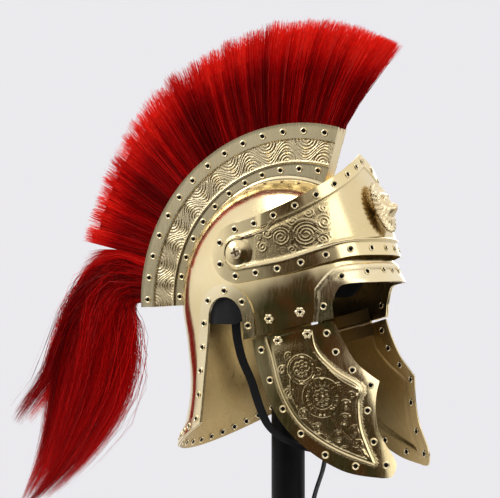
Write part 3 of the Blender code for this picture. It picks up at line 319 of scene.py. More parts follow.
def skull_radius(turn, level):
    """Distance from the axis to the outside of the sheet."""
    turn, level = np.abs(np.asarray(turn, float)), np.asarray(level, float)
    mix = smooth_step(turn, BLEND_FROM, BLEND_TO)
    roundness = FRONT_ROUNDNESS + (BACK_ROUNDNESS - FRONT_ROUNDNESS) * mix
    length = np.where(turn < math.pi / 2, FRONT_LENGTH, BACK_LENGTH)
    scale = np.sqrt(np.maximum(0.0, 1 - (level / CROWN_HEIGHT) ** 2))
    above = scale * (superellipse(turn, HALF_WIDTH, length, roundness) + brow_flare(turn, level))
    back, front = -level / NECK_DROP, -level / CHEEK_DROP
    half_width = HALF_WIDTH * along(FRONT_SECTIONS, front, 1) * (1 - mix)
    half_width = half_width + HALF_WIDTH * along(BACK_SECTIONS, back, 1) * mix
    reach = np.where(turn < math.pi / 2, along(FRONT_SECTIONS, front, 2), along(BACK_SECTIONS, back, 2))
    below = superellipse(turn, half_width, length * reach, roundness) + brow_flare(turn, level)
    return np.where(level >= 0, above, below)


def visor_radius(turn, level):
    """Distance from the axis to the outside of the visor, which leans back as it rises."""
    foot = VISOR_END_LEVEL - VISOR_END_RADIUS
    side = skull_radius(math.pi / 2, foot) + VISOR_CLEARANCE + SHEET - VISOR_SIDE_LEAN * (level - foot)
    front = VISOR_FRONT - VISOR_LEAN * (level - VISOR_FRONT_LEVEL)
    return superellipse(turn, side, front, FRONT_ROUNDNESS)


def spot_and_normal(radius, turn, level):
    """Points of a surface and its outward directions, as rows of side, forward and level."""
    turn, level = np.asarray(turn, float), np.asarray(level, float)

    def at(angle, height):
        reach = radius(angle, height)
        return np.stack([-reach * np.sin(angle), reach * np.cos(angle), height + 0 * reach], axis=-1)

    across = at(turn + 0.002, level) - at(turn - 0.002, level)
    up = at(turn, level + 0.2) - at(turn, level - 0.2)
    normal = np.cross(across, up)
    size = np.linalg.norm(normal, axis=-1, keepdims=True)
    normal = np.where(size > 1e-9, normal / np.maximum(size, 1e-9), np.array([0.0, 0.0, 1.0]))
    return at(turn, level), normal


def place(points):
    """Side, forward and level in millimetres to Blender's metres."""
    points = np.asarray(points, float)
    return np.stack([points[..., 0], -points[..., 1], points[..., 2] + DATUM_HEIGHT], axis=-1) * MM


def turn_at(radius, forward, level):
    """The turn at which a surface lies a given distance forward."""
    low, high = np.zeros(np.shape(level)), np.full(np.shape(level), math.pi)
    for _ in range(40):
        middle = (low + high) / 2
        ahead = radius(middle, level) * np.cos(middle) > forward
        low, high = np.where(ahead, middle, low), np.where(ahead, high, middle)
    return (low + high) / 2


def on_skull(forward, level):
    return float(turn_at(skull_radius, forward, level)), level


# Flat charts of the surfaces, in which sheets are outlined and filled


def skull_chart(turn, level):
    """A flat map of the skull that keeps its angles, with the crown at the middle."""
    turn, level = np.asarray(turn, float), np.asarray(level, float)
    above = np.tan(0.5 * np.arccos(np.clip(level / CROWN_HEIGHT, 0.0, 1.0)))
    reach = np.where(level >= 0, above, np.exp(-np.minimum(level, 0.0) / HALF_WIDTH))
    return np.stack([reach * np.sin(turn), -reach * np.cos(turn)], axis=-1)


def skull_unchart(spots):
    reach = np.linalg.norm(spots, axis=-1)
    above = CROWN_HEIGHT * np.cos(2 * np.arctan(reach))
    below = -HALF_WIDTH * np.log(np.maximum(reach, 1.0))
    return np.arctan2(spots[..., 0], -spots[..., 1]), np.where(reach <= 1, above, below)


def skull_lattice(spacing):
    """Evenly spread points over the whole skull, in its chart, with the local scale of each."""
    steps = round(math.pi / 2 * CROWN_HEIGHT / spacing)
    rings = [CROWN_HEIGHT * math.cos(math.pi / 2 * k / steps) for k in range(1, steps + 1)]
    rings += [-spacing * k for k in range(1, int(max(NECK_DROP, CHEEK_DROP) / spacing) + 1)]
    spots, scales = [np.zeros((1, 2))], [np.full(1, 1 / (2 * HALF_WIDTH))]
    for number, level in enumerate(rings):
        radius = max(float(skull_radius(math.pi / 2, level)), 1.0)
        count = max(6, round(2 * math.pi * radius / spacing))
        turns = 2 * math.pi * (np.arange(count) + 0.5 * (number % 2)) / count - math.pi
        spots.append(skull_chart(turns, np.full(count, level)))
        scales.append(np.full(count, np.linalg.norm(spots[-1][0]) / radius))
    return np.concatenate(spots), np.concatenate(scales)


def visor_chart(turn, level):
    return np.stack([np.asarray(turn, float) * HALF_WIDTH, np.asarray(level, float)], axis=-1)


def visor_unchart(spots):
    return spots[..., 0] / HALF_WIDTH, spots[..., 1]


def visor_lattice(spacing):
    count = int(math.pi * HALF_WIDTH / spacing)
    row, column = np.meshgrid(np.arange(int(PEAK_LEVEL / spacing) + 1), np.arange(-count, count + 1))
    spots = np.stack([(column + 0.5 * (row % 2)) * spacing, row * spacing], axis=-1).reshape(-1, 2)
    return spots.astype(float), np.ones(len(spots))


SKULL = {"radius": skull_radius, "chart": skull_chart, "unchart": skull_unchart, "lattice": skull_lattice}
VISOR = {"radius": visor_radius, "chart": visor_chart, "unchart": visor_unchart, "lattice": visor_lattice}


def divide(outline, surface, spacing):
    """Chart points along a closed outline of (turn, level) corners, with no step longer than the spacing."""
    outline = np.array(outline, float)
    following = np.roll(outline, -1, axis=0)
    here = spot_and_normal(surface["radius"], outline[:, 0], outline[:, 1])[0]
    lengths = np.linalg.norm(np.roll(here, -1, axis=0) - here, axis=1)
    spots = []
    for corner, target, length in zip(outline, following, lengths):
        parts = max(1, math.ceil(length / spacing))
        share = np.arange(parts) / parts
        swing = (target[0] - corner[0] + math.pi) % (2 * math.pi) - math.pi
        spots.append(surface["chart"](corner[0] + swing * share, corner[1] + (target[1] - corner[1]) * share))
    return np.concatenate(spots)


def distances(points, path, closed=False):
    """Distance from each flat point to a path of straight runs."""
    path = np.asarray(path, float)
    starts = path if closed else path[:-1]
    spans = np.roll(path, -1, axis=0) - path if closed else path[1:] - path[:-1]
    squares = np.maximum((spans ** 2).sum(axis=1), 1e-12)
    found = np.empty(len(points))
    for i in range(0, len(points), 4000):
        offset = points[i:i + 4000, None, :] - starts[None]
        share = np.clip((offset * spans).sum(axis=2) / squares, 0, 1)
        found[i:i + 4000] = np.sqrt(((offset - spans * share[..., None]) ** 2).sum(axis=2).min(axis=1))
    return found


def inside(points, border):
    """Whether each flat point is inside a closed border."""
    within = np.zeros(len(points), bool)
    for a, b in zip(border, np.roll(border, 1, axis=0)):
        crosses = (a[1] > points[:, 1]) != (b[1] > points[:, 1])
        edge = (b[0] - a[0]) * (points[:, 1] - a[1]) / (b[1] - a[1] if b[1] != a[1] else 1.0) + a[0]
        within ^= crosses & (points[:, 0] < edge)
    return within


# Meshes


def add_mesh(name, points, faces, body, look, attributes=None, looks=None, smooth=math.radians(38)):
    """Makes a piece from arrays; attributes are one number for each point, looks one slot for each face."""
    mesh = bpy.data.meshes.new(name)
    faces = [np.asarray(block, int).reshape(len(block), -1) for block in faces if len(block)]
    corners = np.concatenate([block.ravel() for block in faces])
    sizes = np.concatenate([np.full(len(block), block.shape[1]) for block in faces])
    mesh.vertices.add(len(points))
    mesh.vertices.foreach_set("co", np.asarray(points, float).ravel())
    mesh.loops.add(len(corners))
    mesh.loops.foreach_set("vertex_index", corners)
    mesh.polygons.add(len(sizes))
    mesh.polygons.foreach_set("loop_start", np.concatenate([[0], np.cumsum(sizes)[:-1]]))
    mesh.polygons.foreach_set("loop_total", sizes)
    if looks is not None:
        mesh.polygons.foreach_set("material_index", np.asarray(looks, int))
    for key, values in (attributes or {}).items():
        layer = mesh.attributes.new(key, "FLOAT", "POINT")
        layer.data.foreach_set("value", np.asarray(values, float))
    mesh.update(calc_edges=True)
    mesh.validate()
    mesh.shade_smooth()
    if smooth:
        mesh.set_sharp_from_angle(angle=smooth)
    made = bpy.data.objects.new(name, mesh)
    bpy.context.scene.collection.objects.link(made)
    for one in look if isinstance(look, list) else [look]:
        mesh.materials.append(one)
    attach(made, body)
    return made


def directions(path, axis=0):
    """Unit steps along a path."""
    ahead = np.gradient(path, axis=axis)
    return ahead / np.maximum(np.linalg.norm(ahead, axis=-1, keepdims=True), 1e-9)


def offset_path(path, inset):
    """A flat path moved to its right by an inset, for an outline that runs clockwise."""
    path = np.asarray(path)
    ahead = directions(path)
    return path + np.stack([ahead[:, 1], -ahead[:, 0]], axis=1) * inset


def ridge(path, offsets, turned):
    """A ridge for fill: a flat path in millimetres, the offsets of its rows and the way to turn and level."""
    middle = spread(path, int(np.linalg.norm(np.diff(path, axis=0), axis=1).sum() / 1.2))
    rows = np.concatenate([offset_path(middle, inset) for inset in offsets])
    return turned(middle), turned(rows), max(abs(inset) for inset in offsets) + 0.4


def fill(surface, outline, spacing, finer=None, ridges=()):
    """Turns, levels and triangles of a filled outline.

    finer tells where points lie at the fine step, and each ridge is its middle path, its rows and its reach."""
    border = divide(outline, surface, spacing)
    kept = [border]
    unit = np.linalg.norm(np.diff(border, axis=0), axis=1).max() / spacing
    for middle, rows, reach in ridges:
        rows = surface["chart"](*rows.T)
        rows = rows[inside(rows, border)]
        kept.append(rows[distances(rows, border, closed=True) > 0.5 * unit])
    for step, wanted in ((spacing, 0), (FINE_STEP, 1)) if finer else ((spacing, 0),):
        spots, scales = surface["lattice"](step)
        near = ((spots > border.min(axis=0)) & (spots < border.max(axis=0))).all(axis=1)
        spots, scales = spots[near], scales[near]
        if finer:
            fine = finer(*surface["unchart"](spots)) == wanted
            spots, scales = spots[fine], scales[fine]
        for middle, rows, reach in ridges:
            clear = distances(spots, surface["chart"](*middle.T)) > reach * scales
            spots, scales = spots[clear], scales[clear]
        within = inside(spots, border)
        spots, scales = spots[within], scales[within]
        kept.append(spots[distances(spots, border, closed=True) > 0.55 * step * scales])
    spots = np.concatenate(kept)
    flat = delaunay_2d_cdt([Vector(p) for p in spots], [], [list(range(len(border)))], 1, 1e-7)
    turn, level = surface["unchart"](np.array([tuple(p) for p in flat[0]]))
    triangles = np.array([tuple(t) for t in flat[2]], int)
    return turn, level, triangles


def sheet(name, surface, outline, thickness, out, spacing, body, look, relief=None, finer=None,
          ridges=(), inner_look=None):
    """A closed sheet with round edges; relief gives the rise, the patina with painted shade, and perhaps the
    back's rise.
    """
    turn, level, triangles = fill(surface, outline, spacing, finer, ridges)
    spots, normals = spot_and_normal(surface["radius"], turn, level)
    rise, tarnish_and_painted_shade, *back = relief(turn, level, spots) if relief else (np.zeros(len(turn)), np.zeros(len(turn)))
    outer = spots + normals * (out + rise)[:, None]
    inner = spots + normals * (out + (back[0] if back else rise) - thickness)[:, None]
    a, b, c = (outer[triangles[:, k]] for k in range(3))
    facing = (np.cross(b - a, c - a) * normals[triangles[:, 0]]).sum(axis=1).sum()
    # place() mirrors the points, so faces that look outwards there are wound the other way here
    if facing > 0:
        triangles = triangles[:, ::-1]
    count = len(turn)
    sides = np.concatenate([triangles[:, [0, 1]], triangles[:, [1, 2]], triangles[:, [2, 0]]])
    keys = {tuple(side) for side in sides.tolist()}
    rim = np.array([side for side in sides.tolist() if (side[1], side[0]) not in keys], int)
    edge = np.unique(rim)
    slot = np.full(count, -1)
    slot[edge] = 2 * count + np.arange(len(edge))
    push = np.zeros((count, 3))
    for start, end in rim:
        run = outer[end] - outer[start]
        away = np.cross(run, normals[start])
        away /= max(np.linalg.norm(away), 1e-9)
        push[start] += away
        push[end] += away
    pushed = push[edge] / np.maximum(np.linalg.norm(push[edge], axis=1), 1e-9)[:, None]
    middle = (outer[edge] + inner[edge]) / 2 + pushed * 0.3 * thickness
    points = place(np.concatenate([outer, inner, middle]))
    upper = np.stack([rim[:, 1], rim[:, 0], slot[rim[:, 0]], slot[rim[:, 1]]], axis=1)
    lower = np.stack([slot[rim[:, 1]], slot[rim[:, 0]], rim[:, 0] + count, rim[:, 1] + count], axis=1)
    faces = [triangles, triangles[:, ::-1] + count, upper, lower]
    tarnish_and_painted_shade = np.concatenate([tarnish_and_painted_shade, 0.3 * tarnish_and_painted_shade, tarnish_and_painted_shade[edge]])
    looks = np.zeros(sum(len(block) for block in faces), int)
    if inner_look:
        look = [look, inner_look]
        looks[len(triangles):2 * len(triangles)] = 1
    return add_mesh(name, points, faces, body, look, {"tarnish_and_painted_shade": tarnish_and_painted_shade}, looks, smooth=math.radians(62))


def ring_faces(rows, sides):
    """Quads between rings of points that follow each other."""
    k = np.arange(sides)
    following = (k + 1) % sides
    low = np.arange(rows - 1)[:, None] * sides
    high = low + sides
    return np.stack([low + k, low + following, high + following, high + k], axis=-1).reshape(-1, 4)


def spun(profile, sides):
    """Points and faces turned about Z from (radius, height) rows; a radius of 0 closes an end."""
    angles = 2 * math.pi * np.arange(sides) / sides
    points = np.array([(r * math.cos(a), r * math.sin(a), z) for r, z in profile for a in angles])
    return points, ring_faces(len(profile), sides)


def frames_on(radius, turn, level, out):
    """Places on a surface for small parts: middles, and the directions across, up and outwards."""
    spots, normals = spot_and_normal(radius, turn, level)
    return frames_at(spots + normals * np.asarray(out, float).reshape(-1, 1), normals)


def frames_at(spots, normals):
    spots, normals = place(spots), normals * np.array([1.0, -1.0, 1.0])
    up = np.array([0.0, 0.0, 1.0]) - normals * normals[:, 2:3]
    size = np.linalg.norm(up, axis=1, keepdims=True)
    up = np.where(size > 0.05, up / np.maximum(size, 0.05), np.array([0.0, 1.0, 0.0]))
    return spots, np.cross(up, normals), up, normals


def stamp(name, shape, frames, body, look, face_looks=None, smooth=math.radians(38)):
    """One mesh of many copies of a small part, each at its own place."""
    points, faces = shape
    spots, across, up, normals = frames
    copies = (spots[:, None] + points[None, :, 0:1] * MM * across[:, None]
              + points[None, :, 1:2] * MM * up[:, None] + points[None, :, 2:3] * MM * normals[:, None])
    shifts = np.arange(len(spots))[:, None, None] * len(points)
    all_faces = (faces[None] + shifts).reshape(-1, faces.shape[1])
    looks = None if face_looks is None else np.tile(face_looks, len(spots))
    return add_mesh(name, copies.reshape(-1, 3), [all_faces], body, look, looks=looks, smooth=smooth)


def join_frames(*several):
    return tuple(np.concatenate(parts) for parts in zip(*several))


def spread(path, count, start=0.0, end=0.0):
    """Evenly spaced points along a path, from a distance after its start to a distance before its end."""
    path = np.asarray(path, float)
    lengths = np.concatenate([[0], np.cumsum(np.linalg.norm(np.diff(path, axis=0), axis=1))])
    wanted = np.linspace(start, lengths[-1] - end, count)
    return np.stack([np.interp(wanted, lengths, path[:, k]) for k in range(path.shape[1])], axis=1)


# Materials


def new_material(name):
    look = bpy.data.materials.new(name)
    look.use_nodes = True
    tree = look.node_tree
    return look, tree.nodes, tree.links, tree.nodes["Principled BSDF"]


def noise(nodes, links, scale, detail=2.0, stretch=None, kind="Object"):
    texture = nodes.new("ShaderNodeTexNoise")
    texture.inputs["Scale"].default_value = scale
    texture.inputs["Detail"].default_value = detail
    coordinates = nodes.new("ShaderNodeTexCoord")
    if stretch is None:
        links.new(coordinates.outputs[kind], texture.inputs["Vector"])
    else:
        mapping = nodes.new("ShaderNodeMapping")
        mapping.inputs["Scale"].default_value = stretch
        links.new(coordinates.outputs[kind], mapping.inputs["Vector"])
        links.new(mapping.outputs["Vector"], texture.inputs["Vector"])
    return texture.outputs["Fac"]


def mix_colours(nodes, links, factor, first, second):
    """A mix of two colours, which are plain values or outputs."""
    node = nodes.new("ShaderNodeMix")
    node.data_type = "RGBA"
    links.new(factor, node.inputs[0])
    for number, colour in ((6, first), (7, second)):
        if isinstance(colour, tuple):
            node.inputs[number].default_value = (*colour, 1.0)
        else:
            links.new(colour, node.inputs[number])
    return node.outputs[2]


def ranged(nodes, links, value, low, high, to_low, to_high):
    node = nodes.new("ShaderNodeMapRange")
    links.new(value, node.inputs["Value"])
    for key, number in (("From Min", low), ("From Max", high), ("To Min", to_low), ("To Max", to_high)):
        node.inputs[key].default_value = number
    return node.outputs["Result"]


def bumped(nodes, links, height, strength, distance, below=None):
    node = nodes.new("ShaderNodeBump")
    node.inputs["Strength"].default_value = strength
    node.inputs["Distance"].default_value = distance
    links.new(height, node.inputs["Height"])
    if below is not None:
        links.new(below, node.inputs["Normal"])
    return node.outputs["Normal"]


def combined(nodes, links, operation, *values):
    """A math node on values, which are numbers or outputs."""
    node = nodes.new("ShaderNodeMath")
    node.operation = operation
    for number, value in enumerate(values):
        if isinstance(value, float):
            node.inputs[number].default_value = value
        else:
            links.new(value, node.inputs[number])
    return node.outputs[0]


def named_attribute(nodes, name):
    node = nodes.new("ShaderNodeAttribute")
    node.attribute_name = name
    return node.outputs["Fac"]


def brass(name, pale, deep, smooth, rough, wave=0.35):
    """Polished sheet with broad changes of tone, fine scratches, gentle waves, patina in its hollows and painted
    shade in creases, at the feet of raised edges and in recesses.
    """
    look, nodes, links, shader = new_material(name)
    shader.inputs["Metallic"].default_value = 1.0
    tone = ranged(nodes, links, noise(nodes, links, 14, 3), 0.35, 0.7, 0.0, 1.0)
    colour = mix_colours(nodes, links, tone, pale, deep)
    given = named_attribute(nodes, "tarnish_and_painted_shade")
    shade_and_stain = ranged(nodes, links, noise(nodes, links, 260, 4), 0.3, 0.7, 0.7, 1.0)
    shaded_and_stained = combined(nodes, links, "MULTIPLY", given, shade_and_stain)
    # Dark brown mixed in where the sheet's attribute asks: patina in hollows and painted shade in creases and
    # recesses.
    tarnish_and_painted_shade = (deep[0] * 0.24, deep[1] * 0.2, deep[2] * 0.16)
    links.new(mix_colours(nodes, links, shaded_and_stained, colour, tarnish_and_painted_shade), shader.inputs["Base Color"])
    scratches = noise(nodes, links, 700, 2, (1.0, 1.0, 0.12))
    worn = ranged(nodes, links, scratches, 0.3, 0.75, smooth, rough)
    links.new(combined(nodes, links, "MULTIPLY_ADD", shaded_and_stained, 0.25, worn), shader.inputs["Roughness"])
    waves = bumped(nodes, links, noise(nodes, links, 22, 1), wave, 0.0012)
    fine = bumped(nodes, links, scratches, 0.12, 0.0001, waves)
    dots = nodes.new("ShaderNodeTexVoronoi")
    dots.inputs["Scale"].default_value = 620
    coordinates = nodes.new("ShaderNodeTexCoord")
    links.new(coordinates.outputs["Object"], dots.inputs["Vector"])
    apart = ranged(nodes, links, dots.outputs["Distance"], 0.15, 0.5, 0.0, 1.0)
    punched = combined(nodes, links, "MULTIPLY", apart, given)
    links.new(bumped(nodes, links, punched, 0.6, 0.0004, fine), shader.inputs["Normal"])
    return look


def plain_black(name, colour, rough, scale, strength, sheen=0.0, distance=0.0004):
    """Black leather, cloth or paint with a fine grain; also the black in the eyelets' holes, which is painted
    shade.
    """
    look, nodes, links, shader = new_material(name)
    grain = noise(nodes, links, scale, 4)
    lighter = tuple(2.2 * part for part in colour)
    links.new(mix_colours(nodes, links, grain, colour, lighter), shader.inputs["Base Color"])
    links.new(ranged(nodes, links, noise(nodes, links, scale / 8, 2), 0.3, 0.7, rough - 0.08, rough + 0.1),
              shader.inputs["Roughness"])
    links.new(bumped(nodes, links, grain, strength, distance), shader.inputs["Normal"])
    shader.inputs["Sheen Weight"].default_value = sheen
    shader.inputs["Specular IOR Level"].default_value = 0.12
    return look


def hair_look(name):
    """Dyed horsehair whose tone varies by lock; dark roots and bright tips are painted shade and light, and it
    glows faintly.
    """
    look, nodes, links, shader = new_material(name)
    ramp = nodes.new("ShaderNodeValToRGB")
    stops = ((0.0, (0.05, 0.0002, 0.0006)), (0.3, (0.24, 0.0012, 0.002)), (0.65, (0.62, 0.005, 0.005)),
             (1.0, (0.95, 0.03, 0.015)))
    while len(ramp.color_ramp.elements) < len(stops):
        ramp.color_ramp.elements.new(0.5)
    for element, (position, colour) in zip(ramp.color_ramp.elements, stops):
        element.position = position
        element.color = (*colour, 1.0)
    links.new(named_attribute(nodes, "shade"), ramp.inputs["Fac"])
    streaks = ranged(nodes, links, noise(nodes, links, 180, 3), 0.3, 0.7, 0.0, 0.35)
    links.new(mix_colours(nodes, links, streaks, ramp.outputs["Color"], (0.14, 0.0005, 0.001)),
              shader.inputs["Base Color"])
    # The hair glows faintly in its own colour: painted light.
    links.new(ramp.outputs["Color"], shader.inputs["Emission Color"])
    shader.inputs["Emission Strength"].default_value = 0.2
    shader.inputs["Roughness"].default_value = 0.42
    shader.inputs["Specular IOR Level"].default_value = 0.25
    shader.inputs["Specular Tint"].default_value = (1.0, 0.25, 0.2, 1.0)
    return look


polished = brass("polished_brass_sheet", (0.91, 0.76, 0.45), (0.84, 0.67, 0.34), 0.11, 0.22)
banded = brass("bright_brass_band", (0.93, 0.80, 0.52), (0.87, 0.72, 0.42), 0.17, 0.3, 0.2)
cast = brass("cast_brass_gilt", (0.94, 0.82, 0.58), (0.88, 0.70, 0.40), 0.2, 0.34, 0.1)
# A dark, rougher copy of the brass for the hinge leaves in the hinge line: its darkness is painted shade.
leaf = brass("dull_hinge_brass_painted_shade", (0.42, 0.30, 0.14), (0.32, 0.22, 0.09), 0.3, 0.48, 0.1)
# A darker, rougher copy of the brass for the sheets' insides: its darkness is painted shade.
inside_brass = brass("unpolished_inner_brass_painted_shade", (0.52, 0.38, 0.17), (0.42, 0.29, 0.11), 0.26, 0.42, 0.2)
# Black for the eyelets' and rivets' bores: painted shade of the holes.
hole = plain_black("eyelet_hole_painted_shade", (0.004, 0.003, 0.002), 0.8, 900, 0.1)
leather = plain_black("black_strap_leather", (0.0045, 0.0045, 0.005), 0.46, 1400, 0.35)
cloth = plain_black("black_liner_cloth", (0.006, 0.006, 0.007), 0.85, 2200, 0.5, 0.3)
paint = plain_black("black_stand_paint", (0.004, 0.004, 0.0045), 0.42, 500, 0.08)
horsehair = hair_look("red_horsehair_strands")


# Edges that several sheets share, for the right side, as (turn, level) points


def hinge_level(forward):
    return HINGE_LEVEL + HINGE_SLOPE * forward


def hinge_edge(start, end, offset, steps=24):
    forward = start + (end - start) * np.arange(1, steps + 1) / steps
    return [on_skull(f, hinge_level(f) + offset) for f in forward]


def rim_level(forward):
    corner = EAR_FORWARD - EAR_RADIUS - EAR_REAR_SPREAD
    back = -BACK_LENGTH * BACK_SECTIONS[-1][2]
    return RIM_CORNER_LEVEL - (NECK_DROP + RIM_CORNER_LEVEL) * (corner - forward) / (corner - back)


def brow_edge():
    """From the middle of the brow to the hinge line at the temple."""
    corner = on_skull(BROW_CORNER_FORWARD, BROW_LEVEL - 3.0)
    points = [(0.0, BROW_LEVEL), (0.5 * corner[0], BROW_LEVEL - 0.6), corner]
    points += [on_skull(TEMPLE_FORWARD + 4.0, BROW_LEVEL - 10.0), on_skull(TEMPLE_FORWARD, TEMPLE_TOP)]
    foot = on_skull(TEMPLE_FORWARD, hinge_level(TEMPLE_FORWARD) + HINGE_GAP / 2)
    return [tuple(p) for p in smooth_path(points, 9)] + [foot]


def ear_front(offset):
    return EAR_FORWARD + EAR_RADIUS + offset


def ear_path(offset):
    """Forward and level from the hinge line at the ear over the arch and down to the rim."""
    front = ear_front(offset)
    reach = EAR_RADIUS + offset
    path = [(front, hinge_level(front) + HINGE_GAP / 2)]
    for k in range(25):
        angle = math.pi * k / 24
        path.append((EAR_FORWARD + reach * math.cos(angle), EAR_CENTRE_LEVEL + reach * math.sin(angle)))
    rear = EAR_FORWARD - EAR_RADIUS - offset
    foot = rear - EAR_REAR_SPREAD
    middle = (rear - 0.6 * EAR_REAR_SPREAD, 0.5 * (EAR_CENTRE_LEVEL + RIM_CORNER_LEVEL))
    leg = smooth_path([path[-1], middle, (foot, rim_level(foot))], 8)
    return path + [tuple(p) for p in leg[1:]]


def ear_edge(offset):
    return [on_skull(*p) for p in ear_path(offset)]


def rim_edge(start, height, steps=24):
    """From a distance forward to the middle of the back, at a height over the rim."""
    back = -BACK_LENGTH * BACK_SECTIONS[-1][2]
    path = []
    for k in range(steps):
        forward = start + (back - start) * math.sin(math.pi / 2 * k / steps)
        path.append((float(turn_at(skull_radius, forward, rim_level(forward))), rim_level(forward) + height))
    return path + [(math.pi, rim_level(back) + height)]


def mirrored(half):
    return half + [(-turn, level) for turn, level in reversed(half) if 0 < turn < math.pi]


# The helmet's sheets


def make_shell():
    half = brow_edge() + hinge_edge(TEMPLE_FORWARD, ear_front(0.0), HINGE_GAP / 2)[:-1] + ear_edge(0.0)
    half += rim_edge(ear_front(0.0) - 2 * EAR_RADIUS - EAR_REAR_SPREAD, 0.0)[1:]
    made = sheet("shell_sheet", SKULL, mirrored(half), SHEET, 0.0, PLAIN_STEP, "helmet", polished,
                 inner_look=inside_brass)
    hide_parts("helmet_shell")


def make_liner():
    half = []
    for turn in np.linspace(0, math.pi, 73):
        level = LINER_BROW_LEVEL
        level += (LINER_TEMPLE_LEVEL - LINER_BROW_LEVEL) * smooth_step(turn, LINER_STEP_FROM, LINER_STEP_TO)
        level += (LINER_BACK_LEVEL - LINER_TEMPLE_LEVEL) * smooth_step(turn, BLEND_FROM, LINER_BACK_FROM)
        half.append((float(turn), float(level)))
    out = -SHEET - LINER_CLEARANCE

    def quilted(turn, level, spots):
        ribs = np.cos(turn * 16) ** 2
        return -0.5 * (1 - ribs) * smooth_step(CROWN_HEIGHT - level, 4, 30) - 0.1, np.zeros(len(turn))

    made = sheet("liner_padding", SKULL, mirrored(half), LINER - 0.3, out, 5.0, "helmet", cloth, quilted)
    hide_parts("liner")


def make_bands():
    out = BAND_CLEARANCE + BAND
    for name, side in SIDES:
        outline = ear_edge(0.0) + list(reversed(ear_edge(BAND_WIDTH)))
        outline = [(side * turn, level) for turn, level in outline]
        made = sheet("ear_band_sheet_" + name, SKULL, outline, BAND, out, BAND_STEP, "helmet", banded)
        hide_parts("ear_band_" + name)
    start = EAR_FORWARD - EAR_RADIUS - EAR_REAR_SPREAD - BAND_WIDTH - BAND_JOINT
    lower, upper = rim_edge(start, 0.0), rim_edge(start, BAND_WIDTH)
    outline = lower + [(-turn, level) for turn, level in reversed(lower[:-1])]
    outline += [(-turn, level) for turn, level in upper[:-1]] + list(reversed(upper))

    made = sheet("neck_rim_sheet", SKULL, outline, BAND, out, BAND_STEP, "helmet", banded)
    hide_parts("neck_rim_band")
    out += BROW_CLEARANCE - BAND_CLEARANCE
    outer, inner = face_band_outer(), brow_edge()
    band = outer + list(reversed(inner)) + [(-turn, level) for turn, level in inner[1:]]
    band += [(-turn, level) for turn, level in reversed(outer[1:])]
    chart = skull_chart(*np.array(outer).T)
    both = np.concatenate([chart[::-1] * [-1, 1], chart])

    def brow_line(turn, level, spots):
        away = distances(skull_chart(turn, level), both) * HALF_WIDTH
        bead = 1.1 * np.exp(-((away - 1.6) / 1.1) ** 2)
        # The second value darkens a line along the inner foot of the bead: painted shade in that crease.
        return bead, 0.7 * np.exp(-((away - 3.9) / 0.7) ** 2)

    made = sheet("face_band_sheet", SKULL, band, BAND, out, 1.5, "helmet", banded, brow_line)
    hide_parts("face_band")


def face_band_outer():
    foot = on_skull(FACE_BAND_BACK, hinge_level(FACE_BAND_BACK) + HINGE_GAP / 2)
    over_eye = on_skull(FACE_BAND_BACK + 22.0, BROW_BAND_TOP - 4.0)
    points = [(0.0, BROW_BAND_TOP), (0.5 * over_eye[0], BROW_BAND_TOP - 0.6), over_eye]
    points.append(on_skull(FACE_BAND_BACK + 11.0, BROW_BAND_TOP - 13.0))
    points.append(on_skull(FACE_BAND_BACK + 2.0, BROW_BAND_TOP - 27.0))
    return [tuple(p) for p in smooth_path(points, 9)] + [foot]


# Ornament: raised lines, scrolls and beads in flat coordinates


def arc(centre, reach, angle):
    return np.stack([centre[0] + reach * np.cos(angle), centre[1] + reach * np.sin(angle)], axis=1)


def spiral(centre, radius, turns, start, way, steps=26):
    """A scroll that winds in from its radius to its middle."""
    share = np.linspace(0, 1, int(steps * turns) + 1)
    return arc(centre, radius * (1 - 0.86 * share), start + way * 2 * math.pi * turns * share)


def circle(centre, radius, steps):
    return arc(centre, radius, np.linspace(0, 2 * math.pi, steps + 1))


def raised_lines(points, lines, width, height):
    """Rise and tarnish of fine raised lines: dark ground between bright lines."""
    away = np.full(len(points), 99.0)
    for line in lines:
        low, high = line.min(axis=0) - 4, line.max(axis=0) + 4
        near = ((points > low) & (points < high)).all(axis=1)
        if near.any():
            away[near] = np.minimum(away[near], distances(points[near], line))
    rise = height * np.exp(-(away / width) ** 2)
    return rise, 1 - np.exp(-(away / (1.5 * width)) ** 2)


# Visor


def visor_upper_level(turn):
    peak_forward = visor_radius(0.0, PEAK_LEVEL)
    level = PEAK_LEVEL
    for _ in range(60):
        reach = visor_radius(turn, level)
        wanted = PEAK_LEVEL - PEAK_RISE_FORWARD * (peak_forward - reach * math.cos(turn))
        wanted -= PEAK_FALL_SIDE * reach * math.sin(turn)
        level += 0.5 * (wanted - level)
    return level


def visor_half_outline():
    """From the peak round the right end to the middle of the lower edge."""
    top = VISOR_END_LEVEL + VISOR_END_RADIUS
    meet = float(turn_at(visor_radius, 12.0, top))
    half = [(turn, max(float(visor_upper_level(turn)), top)) for turn in np.linspace(0, meet, 33)]
    for angle in np.linspace(math.pi / 2, 3 * math.pi / 2, 25):
        forward = VISOR_END_FORWARD + VISOR_END_RADIUS * math.cos(angle)
        level = VISOR_END_LEVEL + VISOR_END_RADIUS * math.sin(angle)
        half.append((float(turn_at(visor_radius, forward, level)), level))
    foot = VISOR_END_LEVEL - VISOR_END_RADIUS
    lower = [half[-1]]
    for forward, share in ((42.0, 0.3), (81.0, 0.7), (104.0, 0.93)):
        level = foot + share * (VISOR_FRONT_LEVEL - foot)
        lower.append((float(turn_at(visor_radius, forward, level)), level))
    lower.append((0.0, VISOR_FRONT_LEVEL))
    return half + [tuple(p) for p in smooth_path(lower, 6)[1:]]


def visor_scrolls():
    """The visor's scrolls on the right side, in its chart."""
    lines = [spiral(*row) for row in VISOR_SCROLLS]
    for centre, radii, start, end in VISOR_ARCS:
        lines += [arc(centre, radius, np.linspace(start, end, 24)) for radius in radii]
    for k in range(9):
        foot = np.array([73.5 + 0.25 * (k - 4) ** 2, 58.0 + 5.0 * k])
        lines.append(np.array([foot, foot + (-3.5, 1.6), foot + (-6.0, 4.2)]))
    return lines


